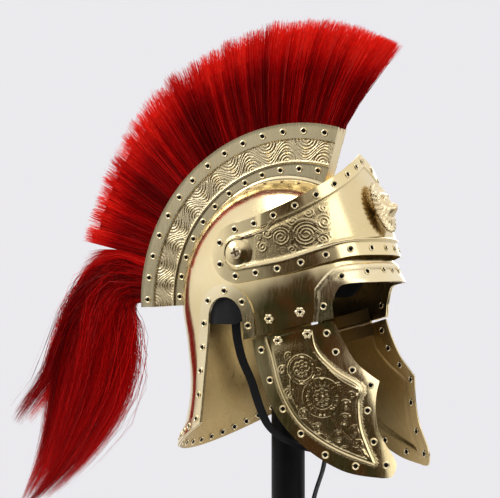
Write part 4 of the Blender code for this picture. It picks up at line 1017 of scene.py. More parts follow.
def make_visor():
    half = visor_half_outline()
    outline = half + [(-turn, level) for turn, level in reversed(half[1:-1])]
    edge = visor_chart(*np.array(half).T)
    upper, lower = edge[:33], edge[32:]
    end_turn = float(turn_at(visor_radius, VISOR_END_FORWARD, VISOR_END_LEVEL))
    end = np.array([end_turn * HALF_WIDTH, VISOR_END_LEVEL])
    lines = visor_scrolls()

    def ornamented(points):
        return smooth_step(points[:, 0], 69.0, 75.0) * smooth_step(UPPER_FLANGE_END - points[:, 0], 0.0, 3.0)

    def finer(turn, level):
        points = visor_chart(np.abs(turn), level)
        return ((points[:, 0] > 64) & (points[:, 0] < 148) & (level > 40) & (level < 102)).astype(int)

    def relief(turn, level, spots):
        points = visor_chart(np.abs(turn), level)
        from_upper, from_lower = distances(points, upper), distances(points, lower)
        reach = np.linalg.norm(points - end, axis=1)
        under = smooth_step(UPPER_FLANGE_END - points[:, 0], 0.0, 8.0)
        rearward = smooth_step(points[:, 0], 40.0, 110.0)
        flange = UPPER_FLANGE_RISE * smooth_step(UPPER_FLANGE + 0.9 - from_upper, 0.0, 0.9) * under
        below = smooth_step(from_upper, UPPER_FLANGE, UPPER_FLANGE + 1.0)
        past = np.maximum(below, 1 - under)
        bead = 1.6 * np.exp(-((from_lower - VISOR_FLANGE - 1.2) / 1.5) ** 2)
        panel = 0.9 * smooth_step(from_lower, VISOR_FLANGE - 0.5, VISOR_FLANGE + 1.6)
        dome = 1.3 * np.sqrt(np.clip(1 - (reach / 16.5) ** 2, 0, 1))
        fine, ground = raised_lines(points, lines, 0.6, 0.6)
        inner = smooth_step(from_lower, VISOR_FLANGE + 2.6, VISOR_FLANGE + 3.8)
        inner = inner * smooth_step(from_upper, UPPER_FLANGE + 2.0, UPPER_FLANGE + 3.4) * ornamented(points)
        sunk = 1.1 * np.exp(-((from_upper - UPPER_FLANGE - 2.0) / 2.4) ** 2) * rearward * under * below
        rise = flange + (bead + panel) * past + dome + fine * inner - sunk * smooth_step(from_lower, 15.0, 18.0)
        # A dark band just under the upper flange, widest at the back: painted shadow of the flange's edge.
        flange_shadow = np.exp(-((from_upper - UPPER_FLANGE - 1.3) / (0.8 + 1.3 * rearward)) ** 2)
        flange_shadow = flange_shadow * under * (0.4 + 0.6 * rearward)
        flange_shadow = flange_shadow * smooth_step(from_lower, VISOR_FLANGE - 2.0, VISOR_FLANGE + 1.0)
        # A dark line at the foot of the raised panel, by the lower flange: painted shade in that crease.
        panel_foot_shade = 0.45 * np.exp(-((from_lower - VISOR_FLANGE + 1.1) / 0.7) ** 2) * past
        punched = 0.13 * smooth_step(78.0 - points[:, 0], 0.0, 8.0) * smooth_step(from_lower, 17.0, 19.0) * below
        tarnish_and_painted_shade = np.maximum.reduce([0.6 * ground * inner, flange_shadow, panel_foot_shade, punched])
        return rise, np.clip(tarnish_and_painted_shade, 0, 1), flange + panel * past

    lower_bead = offset_path(edge, VISOR_FLANGE + 1.2)[33:]
    upper_step = offset_path(edge, UPPER_FLANGE + 0.4)[:30]
    ridges = []
    for way in (1, -1):
        def turned(points, way=way):
            return points * (way / HALF_WIDTH, 1.0)

        ridges.append(ridge(lower_bead, RIDGE_ROWS, turned))
        ridges.append(ridge(upper_step, (-1.0, -0.4, 0.2, 0.8), turned))
    made = sheet("visor_sheet", VISOR, outline, SHEET, 0.0, RELIEF_STEP, "helmet", polished, relief, finer,
                 ridges)
    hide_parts("visor")


def height_disc(reach, height, rings, sides, back):
    """Points and faces of a disc whose outline and height are functions; its back is flat."""
    shares = np.linspace(0, 1, rings + 1)[1:]
    angles = 2 * math.pi * np.arange(sides) / sides
    share, angle = np.meshgrid(shares, angles, indexing="ij")
    radius = reach(angle) * share
    x, y = radius * np.sin(angle), radius * np.cos(angle)
    top = np.stack([x, y, height(x, y, share, angle)], axis=-1).reshape(-1, 3)
    centre = np.array([[0.0, 0.0, float(height(np.zeros(1), np.zeros(1), np.zeros(1), np.zeros(1))[0])]])
    edge = top[-sides:]
    under = np.stack([edge[:, 0] * 0.93, edge[:, 1] * 0.93, np.full(sides, back)], axis=1)
    points = np.concatenate([top, under, centre, [[0.0, 0.0, back]]])
    k = np.arange(sides)
    following = (k + 1) % sides
    middle = np.full(sides, len(points) - 2)
    last = np.full(sides, len(points) - 1)
    foot = rings * sides
    caps = [np.stack([middle, following, k], axis=1), np.stack([last, foot + k, foot + following], axis=1)]
    return points, [ring_faces(rings + 1, sides), *caps]


def placed(points, frames, index=0):
    spots, across, up, normals = (part[index] for part in frames)
    points = np.asarray(points) * MM
    return spots + points[:, 0:1] * across + points[:, 1:2] * up + points[:, 2:3] * normals


def make_pivots():
    turn = float(turn_at(visor_radius, VISOR_END_FORWARD, VISOR_END_LEVEL))

    def height(x, y, share, angle):
        radius = share * PIVOT_RADIUS
        rise = 0.8 * PIVOT_HEIGHT * (1 - smooth_step(radius, 4.0, PIVOT_RADIUS + 1.0)) - 0.2
        head = smooth_step(SCREW_RADIUS - radius, 0.0, 0.7)
        rise = rise + head * SCREW_HEIGHT * (0.55 + 0.3 * np.sqrt(np.clip(1 - (radius / SCREW_RADIUS) ** 2, 0, 1)))
        cross = np.minimum(np.abs(x + 0.3 * y), np.abs(y - 0.3 * x))
        arm = smooth_step(4.7 - radius, 0, 0.5) * smooth_step(1.15 - cross, 0, 0.4)
        return rise - 2.0 * arm + 0.3

    rings, sides = 40, 72
    points, faces = height_disc(lambda angle: PIVOT_RADIUS + 0 * angle, height, rings, sides, 0.1)
    radius = np.hypot(points[:, 0], points[:, 1])
    cross = np.minimum(np.abs(points[:, 0] + 0.3 * points[:, 1]), np.abs(points[:, 1] - 0.3 * points[:, 0]))
    # The screw's cross slot and the ring round its head are darkened: painted shade in those recesses.
    shade_and_stain = 0.95 * smooth_step(4.8 - radius, 0, 0.4) * smooth_step(1.3 - cross, 0, 0.4)
    shade_and_stain = np.maximum(shade_and_stain, 0.7 * np.exp(-((radius - SCREW_RADIUS) / 0.5) ** 2))
    looks = np.zeros(sum(len(block) for block in faces), int)
    looks[:sides * round(rings * SCREW_RADIUS / PIVOT_RADIUS)] = 1
    looks[len(faces[0]):len(faces[0]) + len(faces[1])] = 1
    for name, side in SIDES:
        frames = frames_on(visor_radius, np.array([side * turn]), np.array([VISOR_END_LEVEL]), 2.0)
        made = add_mesh("visor_pivot_screw_" + name, placed(points, frames), faces, "helmet", [polished, cast],
                        {"tarnish_and_painted_shade": shade_and_stain}, looks)
        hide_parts("visor_pivot_" + name)


def make_medallion():
    """A cast lion mask: three rings of curled locks round a broad muzzle, nose, brows and cheeks."""
    half_x, half_y = 0.5 * MEDALLION_WIDTH, 0.5 * MEDALLION_HEIGHT

    def reach(angle):
        oval = 1 / np.sqrt((np.sin(angle) / half_x) ** 2 + (np.cos(angle) / half_y) ** 2)
        return oval * (0.965 + 0.035 * np.cos(26 * angle))

    def lump(u, v, aside, up, wide, high, power):
        return np.exp(-((np.abs(u - aside) / wide) ** power + (np.abs(v - up) / high) ** power))

    def height(x, y, share, angle):
        u, v = x / half_x, y / half_y
        face = lump(u, v, 0.0, 0.02, 0.55, 0.61, 4)
        rise = MEDALLION_PLATE * (0.55 + 0.45 * np.sqrt(np.clip(1 - share ** 4, 0, 1)))
        rise = rise + 1.2 * smooth_step(0.95 - share, 0.0, 0.4) + 1.8 * face
        for ring, number, turned in MASK_CURLS:
            near = np.exp(-((share - ring) / CURL_WIDTH) ** 2)
            curl = 0.5 + 0.5 * np.cos(number * angle + turned)
            rise = rise + (1 - face) * near * (2.3 * curl - 0.9)
        for lift, aside, *lump_size in FACE_LUMPS:
            for middle in sorted({aside, -aside}):
                rise = rise + lift * lump(u / FACE_SCALE, v / FACE_SCALE, middle, *lump_size)
        return rise

    points, faces = height_disc(reach, height, 62, 204, 0.6)
    frames = frames_on(visor_radius, np.array([0.0]), np.array([MEDALLION_LEVEL]), MEDALLION_STAND_OFF)
    rise = points[:, 2]
    share = np.hypot(points[:, 0] / half_x, points[:, 1] / half_y)
    low = np.clip((6.2 - 1.5 * share - rise) / 3.5, 0, 1) * smooth_step(share, 0.1, 0.3)
    stud, stud_faces = spun([(STUD_RADIUS, -MEDALLION_STAND_OFF + 0.5), (STUD_RADIUS, 1.5)], 32)
    shift = len(points)
    both = np.concatenate([points, stud])
    tarnish_and_painted_shade = np.concatenate([0.8 * low, np.zeros(len(stud))])
    made = add_mesh("lion_mask", placed(both, frames), [*faces, stud_faces + shift], "helmet", cast,
                    {"tarnish_and_painted_shade": tarnish_and_painted_shade}, smooth=math.radians(80))
    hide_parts("medallion")


# Crest box


def crest_spots(side, radius, angle):
    """Side, forward and level on arcs about the crest's centre, with angles in degrees."""
    angle = np.radians(angle)
    side = side + 0 * radius * angle
    return np.stack([side, CREST_FORWARD + radius * np.cos(angle), radius * np.sin(angle)], axis=-1)


def bowl_reach(side, angle):
    """How far from the crest's centre the bowl's outside lies, at a distance to the side."""
    low, high = np.full(np.shape(angle), 60.0), np.full(np.shape(angle), 160.0)
    for _ in range(30):
        middle = (low + high) / 2
        spots = crest_spots(side, middle, angle)
        level = np.maximum(spots[..., 2], -30.0)
        turn = np.arctan2(-spots[..., 0], spots[..., 1])
        over = np.hypot(spots[..., 0], spots[..., 1]) > skull_radius(turn, level)
        over |= level >= CROWN_HEIGHT
        low, high = np.where(over, low, middle), np.where(over, middle, high)
    return (low + high) / 2


def slab(name, outer, inner, tarnish_and_painted_shade, body, look, smooth=math.radians(50)):
    """A closed plate from two grids of points that face each other; a plain inner grid may have fewer rows."""
    rows, columns = outer.shape[:2]
    count = rows * columns
    low = np.arange(inner.shape[0] * columns).reshape(inner.shape[0], columns) + count
    high = np.arange(count).reshape(rows, columns)
    faces = [np.stack([high[:-1, :-1], high[:-1, 1:], high[1:, 1:], high[1:, :-1]], axis=-1).reshape(-1, 4)]
    faces.append(np.stack([low[1:, :-1], low[1:, 1:], low[:-1, 1:], low[:-1, :-1]], axis=-1).reshape(-1, 4))
    for a, b in ((high[0], low[0]), (high[-1, ::-1], low[-1, ::-1])):
        faces.append(np.stack([a[1:], a[:-1], b[:-1], b[1:]], axis=1))
    if inner.shape[0] == rows:
        for a, b in ((high[::-1, 0], low[::-1, 0]), (high[:, -1], low[:, -1])):
            faces.append(np.stack([a[1:], a[:-1], b[:-1], b[1:]], axis=1))
    else:
        faces.append(np.concatenate([high[:, 0], low[::-1, 0]])[None])
        faces.append(np.concatenate([high[::-1, -1], low[:, -1]])[None])
    points = place(np.concatenate([outer.reshape(-1, 3), inner.reshape(-1, 3)]))
    shade_and_stain = np.concatenate([tarnish_and_painted_shade.ravel(), np.zeros(inner.shape[0] * columns)])
    return add_mesh(name, points, faces, body, look, {"tarnish_and_painted_shade": shade_and_stain}, smooth=smooth)


def crest_relief(radius, angle, low):
    """Rise, and patina with painted shade, of a crest plate: bands along both edges and nested lines that wave
    between them.
    """
    inner_line = CREST_INNER_RADIUS + INNER_BAND
    outer_line = CREST_OUTER_RADIUS - OUTER_BAND
    period = math.radians(WAVE_DEGREES) * 0.5 * (inner_line + outer_line)
    turn = 2 * math.pi * (angle - 85.0) / WAVE_DEGREES
    drift = 0.5 * np.sin(0.37 * turn + 1.0) + 0.4 * np.sin(radius / 5.0 + 0.8 * turn)
    phase = (radius + WAVE_HEIGHT * np.cos(turn) + drift) / LINE_SPACING
    slope = np.hypot(1.0, WAVE_HEIGHT * 2 * math.pi / period * np.sin(turn))
    for centre, shift in ((outer_line, 0.0), (inner_line, math.pi)):
        sideways = (np.mod(turn + shift + math.pi, 2 * math.pi) - math.pi) / (2 * math.pi) * period
        reach = np.hypot(sideways, radius - centre)
        near = reach < HALF_RING
        phase = np.where(near, reach / LINE_SPACING, phase)
        slope = np.where(near, 1.0, slope)
    away = np.abs(phase - np.round(phase)) * LINE_SPACING / slope
    strong = 0.6 + 0.2 * (np.round(phase) % 2)
    lines = np.exp(-(away / 0.62) ** 2)
    panel = smooth_step(radius, inner_line + 0.8, inner_line + 1.8) * smooth_step(outer_line - radius, 0.2, 0.9)
    rise = strong * lines * panel
    rise = rise + 1.3 * smooth_step(radius, outer_line - 0.2, outer_line + 0.5)
    rise = rise + 1.3 * np.exp(-((radius - inner_line) / 1.3) ** 2)
    rise = rise + 0.35 * smooth_step(inner_line - radius, 0.0, 1.5)
    rise = rise + 0.9 * smooth_step(2.6 - (radius - low), 0.0, 1.4)
    rise = rise + 0.3 * np.exp(-((CREST_OUTER_RADIUS - radius - 0.6) / 0.7) ** 2)
    # Dark lines at the foot of the outer band, wider towards the back, and just above the bottom lip: painted
    # shade in those creases. The ground between the raised lines is darkened as patina.
    dark = 0.7 + 0.9 * smooth_step(angle, 100.0, 160.0)
    shade_and_stain = np.maximum(0.6 * (1 - lines) * panel, 0.95 * np.exp(-((radius - outer_line + 0.8) / dark) ** 2))
    shade_and_stain = np.maximum(shade_and_stain, 0.75 * np.exp(-((radius - low - 3.1) / 0.6) ** 2))
    return rise, shade_and_stain


def make_crest_box():
    half = 0.5 * CREST_WIDTH
    angles = np.linspace(CREST_FRONT_ANGLE, CREST_BACK_ANGLE, 400)
    low = np.maximum(bowl_reach(half, angles) + CREST_CLEARANCE, CREST_INNER_RADIUS - 7)
    panel = CREST_INNER_RADIUS + INNER_BAND - 2.0
    border = CREST_OUTER_RADIUS - OUTER_BAND + 1.0
    rows = [low + (panel - low) * share for share in np.linspace(0, 1, 18)[:-1]]
    rows += [np.full(400, value) for value in np.linspace(panel, border, 54)[:-1]]
    rows += [np.full(400, value) for value in np.linspace(border, CREST_OUTER_RADIUS, 12)]
    radius = np.array(rows)
    angle = np.broadcast_to(angles, radius.shape)
    rise, shade_and_stain = crest_relief(radius, angle, low)
    for side in (-1, 1):
        outer = crest_spots(side * (half + rise - 0.3), radius, angle)
        flat = radius[[0, -1]]
        inner = crest_spots(np.full(flat.shape, side * (half - CREST_PLATE)), flat, angle[:2])
        shaded_and_stained = shade_and_stain
        if side > 0:
            outer, inner, shaded_and_stained = outer[:, ::-1], inner[:, ::-1], shade_and_stain[:, ::-1]
        name = "crest_plate_" + ("right" if side < 0 else "left")
        slab(name, outer, inner, shaded_and_stained, "helmet", banded)
    between = np.linspace(-half + CREST_PLATE + 0.05, half - CREST_PLATE - 0.05, 9)
    for name, at, way in (("front", CREST_FRONT_ANGLE, 1), ("back", CREST_BACK_ANGLE, -1)):
        bottom = float(bowl_reach(0.0, np.array([at]))[0]) + CREST_CLEARANCE + 0.4
        over = CREST_OUTER_RADIUS - (0.6 if way > 0 else PLUME_ROOT_DEPTH)
        up, across = np.meshgrid(np.linspace(bottom, over, 30), between, indexing="ij")
        thick = way * math.degrees(CREST_PLATE / CREST_OUTER_RADIUS)
        outer = crest_spots(across, up, np.full(up.shape, at))
        inner = crest_spots(across, up, np.full(up.shape, at + thick))
        if way < 0:
            outer, inner = outer[:, ::-1], inner[:, ::-1]
        slab("crest_end_" + name, outer, inner, np.zeros(up.shape), "helmet", banded)
    spans = np.linspace(CREST_FRONT_ANGLE + 0.6, CREST_BACK_ANGLE - 0.6, 120)
    side, angle = np.meshgrid(between, spans)
    top = crest_spots(side, np.full(side.shape, CREST_INNER_RADIUS + CREST_FLOOR), angle)
    under = crest_spots(side, bowl_reach(side, angle) + CREST_CLEARANCE + 0.1, angle)
    slab("crest_floor", top, under, np.zeros(side.shape), "helmet", banded)
    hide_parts("crest_box")


# Cheek guards


def cheek_path():
    """The cheek guard's outline as forward and level, without its hinge edge."""
    drop = CHEEK_DROP + HINGE_LEVEL
    rear = (CHEEK_REAR, hinge_level(CHEEK_REAR) - HINGE_GAP / 2)
    front = (TEMPLE_FORWARD, hinge_level(TEMPLE_FORWARD) - HINGE_GAP / 2)

    def spot(share):
        return CHEEK_REAR + share[0] * CHEEK_LENGTH, HINGE_LEVEL - share[1] * drop

    front_edge = [front] + [spot(share) for share in CHEEK_FRONT_EDGE]
    hollow = [front_edge[-1]] + [spot(share) for share in CHEEK_HOLLOW + CHEEK_TIP]
    lower = [hollow[-1]] + [spot(share) for share in CHEEK_LOWER_EDGE] + [rear]
    return np.concatenate([smooth_path(front_edge, 8)[:-1], smooth_path(hollow, 8)[:-1], smooth_path(lower, 9)])


def cheek_table():
    """Turns, and the lengths along the skull from its middle front to them."""
    turns = np.linspace(0, math.pi, 600)
    reach = skull_radius(turns, np.full(600, CHEEK_FLAT_LEVEL))
    steps = np.hypot(np.diff(reach * np.sin(turns)), np.diff(reach * np.cos(turns)))
    return turns, np.concatenate([[0.0], np.cumsum(steps)])


CHEEK_TURNS, CHEEK_LENGTHS = cheek_table()


def flat_cheek(turn, level):
    """Length along the skull from its middle front, measured at the cheek guards' middle, and the level."""
    return np.stack([np.interp(np.abs(turn), CHEEK_TURNS, CHEEK_LENGTHS), level], axis=1)


def rosette(centre, radius):
    """A ring of petals round a small eye."""
    lines = [circle(centre, 0.16 * radius, 12)]
    for k in range(8):
        angle = math.pi * k / 4
        middle = (centre[0] + 0.56 * radius * math.cos(angle), centre[1] + 0.56 * radius * math.sin(angle))
        lines.append(circle(middle, 0.2 * radius, 12))
    return lines


def cheek_ornament():
    """Lines of the cheek guards' ornament, as length along the skull and level."""
    lines = [line for centre, radius, rings in CHEEK_ROSETTES for line in rosette(centre, radius)]
    lines += [circle(centre, radius, 44) for centre, _, rings in CHEEK_ROSETTES for radius in rings]
    beads = circle(CHEEK_ROSETTES[1][0], BEAD_RING, 20)[:-1]
    lines += [circle(bead, 1.1, 8) for bead in beads]
    lines += [spiral(*row, 22) for row in CHEEK_SCROLLS]
    stem = smooth_path(CHEEK_STEM, 6)
    lines += [stem, stem + (2.2, -3.2)]
    lines += [smooth_path(stalk, 5) for stalk in CHEEK_STALKS]
    return lines


def make_cheek_guard(name, side):
    path = cheek_path()
    outline = [on_skull(*p) for p in path] + hinge_edge(CHEEK_REAR, TEMPLE_FORWARD, -HINGE_GAP / 2)[:-1]
    outline = [(side * turn, level) for turn, level in outline]
    rear = smooth_path(CHEEK_RIDGE_REAR, 6)
    front = smooth_path(CHEEK_RIDGE_FRONT, 6)
    rear = flat_cheek(turn_at(skull_radius, rear[:, 0], rear[:, 1]), rear[:, 1])
    front = flat_cheek(turn_at(skull_radius, front[:, 0], front[:, 1]), front[:, 1])
    loop = np.concatenate([rear, front[::-1]])
    lines = cheek_ornament()

    def finer(turn, level):
        return inside(flat_cheek(turn, level), loop).astype(int)

    def relief(turn, level, spots):
        points = flat_cheek(turn, level)
        away = distances(points, loop, closed=True)
        within = inside(points, loop)
        signed = np.where(within, away, -away)
        below_hinge = hinge_level(spots[:, 1]) - level
        hinge_fade = smooth_step(below_hinge, 3.0, 24.0)
        panel = smooth_step(signed, -0.8, 3.2) * hinge_fade
        bead = 0.9 * np.exp(-(signed / 1.3) ** 2) * smooth_step(below_hinge, 1.0, 8.0)
        fine, ground = raised_lines(points, lines, 0.5, 0.6)
        deep = smooth_step(signed, 2.4, 3.6) * smooth_step(below_hinge, 9.0, 13.0)
        rise = 1.6 * panel + bead + fine * deep
        tarnish_and_painted_shade = 0.25 * ground * deep * smooth_step(below_hinge, 9.0, 26.0)
        # A dark line along the outer foot of the ridge: painted shade in that crease.
        tarnish_and_painted_shade = np.maximum(tarnish_and_painted_shade, 0.9 * np.exp(-((signed + 2.6) / 0.9) ** 2) * hinge_fade)
        return rise, np.clip(tarnish_and_painted_shade, 0, 1), 1.3 * panel

    def turned(points):
        return np.stack([side * np.interp(points[:, 0], CHEEK_LENGTHS, CHEEK_TURNS), points[:, 1]], axis=1)

    ridges = [ridge(line, RIDGE_ROWS, turned) for line in (rear, front)]
    made = sheet("cheek_plate_" + name, SKULL, outline, SHEET, 0.0, 1.6, name + "_cheek", polished, relief, finer,
                 ridges, inside_brass)
    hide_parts("cheek_guard_" + name)


# Eyelets and rivets


def eyelet_shape(radius=EYELET_RADIUS, bore=EYELET_BORE, sides=18):
    """A rolled tubular rivet whose bore ends in a black floor, painted shade of the hole."""
    profile = [(radius, 0.0), (radius, 0.35), (0.94 * radius, 0.75), (0.8 * radius, 0.95), (0.68 * radius, 0.8),
               (bore, 0.45), (bore, 0.12), (0.01, 0.12)]
    points, faces = spun(profile, sides)
    looks = np.zeros(len(faces), int)
    # The bore's wall and floor take the second, black look: painted shade of a deep hole.
    looks[-2 * sides:] = 1
    return (points, faces), looks


def flower_shape():
    """A tubular rivet whose rim is split into petals."""
    sides, rings = 48, 12
    angles = 2 * math.pi * np.arange(sides) / sides
    rows = []
    for share in np.linspace(1, 0.36, rings):
        radius = FLOWER_RADIUS * share * (1 + 0.10 * np.cos(6 * angles) * smooth_step(share, 0.5, 1.0))
        rise = 0.25 + 1.0 * math.sin(math.pi * (1.02 - share) / 0.75)
        rise = rise + 0.35 * np.cos(6 * angles) * smooth_step(share, 0.4, 0.7)
        rows.append(np.stack([radius * np.cos(angles), radius * np.sin(angles), np.maximum(rise, 0.2)], axis=1))
    rows.insert(0, np.stack([rows[0][:, 0], rows[0][:, 1], np.zeros(sides)], axis=1))
    for radius in (1.75, 0.01):
        rows.append(np.stack([radius * np.cos(angles), radius * np.sin(angles), np.full(sides, 0.15)], axis=1))
    points, faces = np.concatenate(rows), ring_faces(len(rows), sides)
    looks = np.zeros(len(faces), int)
    # The middle takes the second, black look: painted shade of the hole.
    looks[-2 * sides:] = 1
    return (points, faces), looks


def both_sides(turns, levels):
    """Turns and levels for the right side and, but for points in the middle, the left side."""
    off = np.asarray(turns) > 0.01
    return np.concatenate([turns, -turns[off]]), np.concatenate([levels, levels[off]])


def skull_frames(path, out):
    """Places over both sides of the skull from rows of forward and level."""
    path = np.asarray(path)
    turns = turn_at(skull_radius, path[:, 0], path[:, 1])
    return frames_on(skull_radius, *both_sides(turns, path[:, 1]), out)


def turned_frames(radius, rows, out, both=True):
    rows = np.asarray(rows)
    turns, levels = rows[:, 0], rows[:, 1]
    if both:
        turns, levels = both_sides(turns, levels)
    return frames_on(radius, turns, levels, out)


def turned_inwards(frames):
    spots, across, up, normals = frames
    return spots, -across, up, -normals


def make_eyelets():
    shape, looks = eyelet_shape()
    lift = BAND_CLEARANCE + BAND
    groups = []
    ear = spread(ear_path(0.5 * BAND_WIDTH - 0.3), 9, 13.0, 7.5)
    groups.append(skull_frames(ear, lift))
    inner_ear = skull_frames(ear, -SHEET)
    start = EAR_FORWARD - EAR_RADIUS - EAR_REAR_SPREAD - BAND_WIDTH - BAND_JOINT
    rim = rim_edge(start, 0.5 * BAND_WIDTH)
    rim_whole = rim + [(2 * math.pi - turn, level) for turn, level in reversed(rim[:-1])]
    rim_spots = spread(np.array(rim_whole) * [HALF_WIDTH, 1.0], 13, 8.0, 8.0) / [HALF_WIDTH, 1.0]
    groups.append(turned_frames(skull_radius, rim_spots, lift, False))
    inner_rim = turned_frames(skull_radius, rim_spots, -SHEET, False)
    brow = np.array(BROW_EYELETS) * [math.pi / 180, 1]
    groups.append(turned_frames(skull_radius, brow, BROW_CLEARANCE + BAND))
    inner_brow = turned_frames(skull_radius, brow, -SHEET)
    half = visor_chart(*np.array(visor_half_outline()).T)
    middle = offset_path(half, 0.5 * VISOR_FLANGE - 0.4)
    visor = spread(middle, 19, 4.5, 10.0) / [HALF_WIDTH, 1]
    raised = smooth_step(UPPER_FLANGE_END - visor[:, 0] * HALF_WIDTH, 0.0, 8.0) * (visor[:, 1] > 66.0)
    raised = UPPER_FLANGE_RISE * raised
    raised = np.concatenate([raised, raised[visor[:, 0] > 0.01]])
    groups.append(turned_frames(visor_radius, visor, raised))
    crest_rows = ((CREST_OUTER_RADIUS - 8.8, 14, 4.4, 2.6, 1.0), (CREST_INNER_RADIUS + 8.6, 12, 4.4, 4.0, 0.05))
    for radius, count, first, last, rise in crest_rows:
        angle = np.linspace(CREST_FRONT_ANGLE + first, CREST_BACK_ANGLE - last, count)
        for side in (-1, 1):
            spots = crest_spots(side * (0.5 * CREST_WIDTH + rise), np.full(count, radius), angle)
            groups.append(frames_at(spots, np.tile([[float(side), 0.0, 0.0]], (count, 1))))
    stamp("eyelets", shape, join_frames(*groups), "helmet", [banded, hole], looks)
    ends = turned_inwards(join_frames(inner_ear, inner_rim, inner_brow))
    stamp("eyelet_ends", shape, ends, "helmet", [banded, hole], looks)
    for name, side in SIDES:
        spots = np.array(CHEEK_EYELETS)
        turns = side * turn_at(skull_radius, spots[:, 0], spots[:, 1])
        outside = frames_on(skull_radius, turns, spots[:, 1], 0.0)
        backs = turned_inwards(frames_on(skull_radius, turns, spots[:, 1], -SHEET))
        stamp("cheek_eyelets_" + name, shape, join_frames(outside, backs), name + "_cheek", [banded, hole], looks)
    petals, petal_looks = flower_shape()
    lower = np.array(LOWER_RIVETS)
    stamp("hinge_rivets", petals, skull_frames(UPPER_RIVETS, 0.0), "helmet", [banded, hole], petal_looks)
    for name, side in SIDES:
        turns = side * turn_at(skull_radius, lower[:, 0], lower[:, 1])
        stamp("cheek_rivets_" + name, petals, frames_on(skull_radius, turns, lower[:, 1], 0.0), name + "_cheek",
              [banded, hole], petal_looks)


# Strap and stand


def ribbon(name, route, across, width, thickness, look):
    """A flat strap with round edges along a route of side, forward and level."""
    route = np.asarray(route)
    ahead = directions(route)
    across = across - ahead * (across * ahead).sum(axis=1)[:, None]
    across /= np.linalg.norm(across, axis=1)[:, None]
    over = np.cross(ahead, across)
    section = ((-1, -0.3), (-0.9, -0.85), (-0.7, -1), (0.7, -1), (0.9, -0.85), (1, -0.3), (1, 0.3), (0.9, 0.85),
               (0.7, 1), (-0.7, 1), (-0.9, 0.85), (-1, 0.3))
    rings = [route + across * (0.5 * width * a) + over * (0.5 * thickness * b) for a, b in section]
    grid = np.stack(rings, axis=1)
    index = np.arange(grid.shape[0] * grid.shape[1]).reshape(grid.shape[:2])
    quads = ring_faces(*grid.shape[:2])[:, [0, 3, 2, 1]]
    made = add_mesh(name, place(grid.reshape(-1, 3)), [quads, index[:1], index[-1:, ::-1]], "helmet", look)
    return made


def make_strap():
    left = []
    for forward, level, away in STRAP_ENDS:
        inner = float(skull_radius(math.pi / 2, level)) - SHEET - LINER_CLEARANCE - LINER
        left.append((inner - 0.5 * STRAP_THICKNESS - away, forward, level))
    left += STRAP_ROUTE
    right = [(-side, forward, level) for side, forward, level in left[:-1]]
    route = smooth_path(left + right[::-1], 12)
    upright = np.abs(directions(route)[:, 1:2]) < 0.9
    across = np.where(upright, [[0.0, 1.0, 0.0]], [[1.0, 0.0, 0.0]])
    made = ribbon("strap_leather", route, across, STRAP_WIDTH, STRAP_THICKNESS, leather)
    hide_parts("chin_strap")
    chin = np.array(STRAP_ROUTE[-1]) - [0, 0, 0.5 * STRAP_THICKNESS + STRAP_CLEARANCE]
    tail = smooth_path([chin + [0.0, forward, level] for forward, level in STRAP_TAIL_ROUTE], 10)
    across = np.tile([[1.0, 0.0, 0.0]], (len(tail), 1))
    made = ribbon("strap_tail_leather", tail, across, STRAP_WIDTH, STRAP_THICKNESS, leather)
    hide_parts("strap_tail")


def make_stand():
    inset = SHEET + LINER_CLEARANCE + LINER + SEAT_CLEARANCE
    dome, reach = CROWN_HEIGHT - inset, HALF_WIDTH - inset
    top = dome + DATUM_HEIGHT
    profile = [(0.01, 0.0), (BASE_RADIUS - 1, 0.0), (BASE_RADIUS, 1.0), (BASE_RADIUS, 0.62 * BASE_THICKNESS),
               (BASE_RADIUS - 0.8, 0.75 * BASE_THICKNESS), (BASE_RADIUS - 4.0, BASE_THICKNESS - 0.4),
               (BASE_RADIUS - 6.0, BASE_THICKNESS), (POST_RADIUS + 9.0, BASE_THICKNESS + 0.6),
               (POST_RADIUS + 3.0, BASE_THICKNESS + 3.0), (POST_RADIUS + 0.6, BASE_THICKNESS + 7.0),
               (POST_RADIUS, BASE_THICKNESS + 12.0), (POST_RADIUS, top - HEAD_DEPTH),
               (HEAD_RADIUS - 4.0, top - HEAD_DEPTH + 6.0)]
    for k in range(13):
        radius = max(HEAD_RADIUS * (1 - k / 12), 0.01)
        profile.append((radius, top - dome * (1 - math.sqrt(1 - (radius / reach) ** 2))))
    points, faces = spun(profile, 72)
    made = add_mesh("stand_turned", points * MM, [faces], "helmet", paint)
    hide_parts("stand_post")


# Hair


def strands(name, paths, widths, shades, seed, thinning=0.88):
    """Thin ribbons of hair from arrays: paths are strand by point by side, forward and level."""
    rng = np.random.default_rng(seed)
    count, steps = paths.shape[:2]
    across = np.cross(directions(paths, 1), rng.normal(size=(count, 1, 3)))
    across /= np.maximum(np.linalg.norm(across, axis=2), 1e-9)[..., None]
    taper = 1 - thinning * np.linspace(0, 1, steps) ** 3
    half = 0.5 * widths[:, None] * taper[None]
    points = np.stack([paths + across * half[..., None], paths - across * half[..., None]], axis=2)
    index = np.arange(count * steps * 2).reshape(count, steps, 2)
    quads = np.stack([index[:, :-1, 0], index[:, :-1, 1], index[:, 1:, 1], index[:, 1:, 0]], axis=-1)
    shade = np.repeat(shades.reshape(count, steps, 1), 2, axis=2)
    made = add_mesh(name, place(points.reshape(-1, 3)), [quads.reshape(-1, 4)], "helmet", horsehair,
                    {"shade": shade.ravel()}, smooth=None)
    return made


ROOT_RADIUS = CREST_OUTER_RADIUS - PLUME_ROOT_DEPTH
ROOT_HALF = 0.5 * CREST_WIDTH - CREST_PLATE - PLUME_CLEARANCE
FAN_START = CREST_FRONT_ANGLE + math.degrees((CREST_PLATE + PLUME_CLEARANCE) / ROOT_RADIUS)


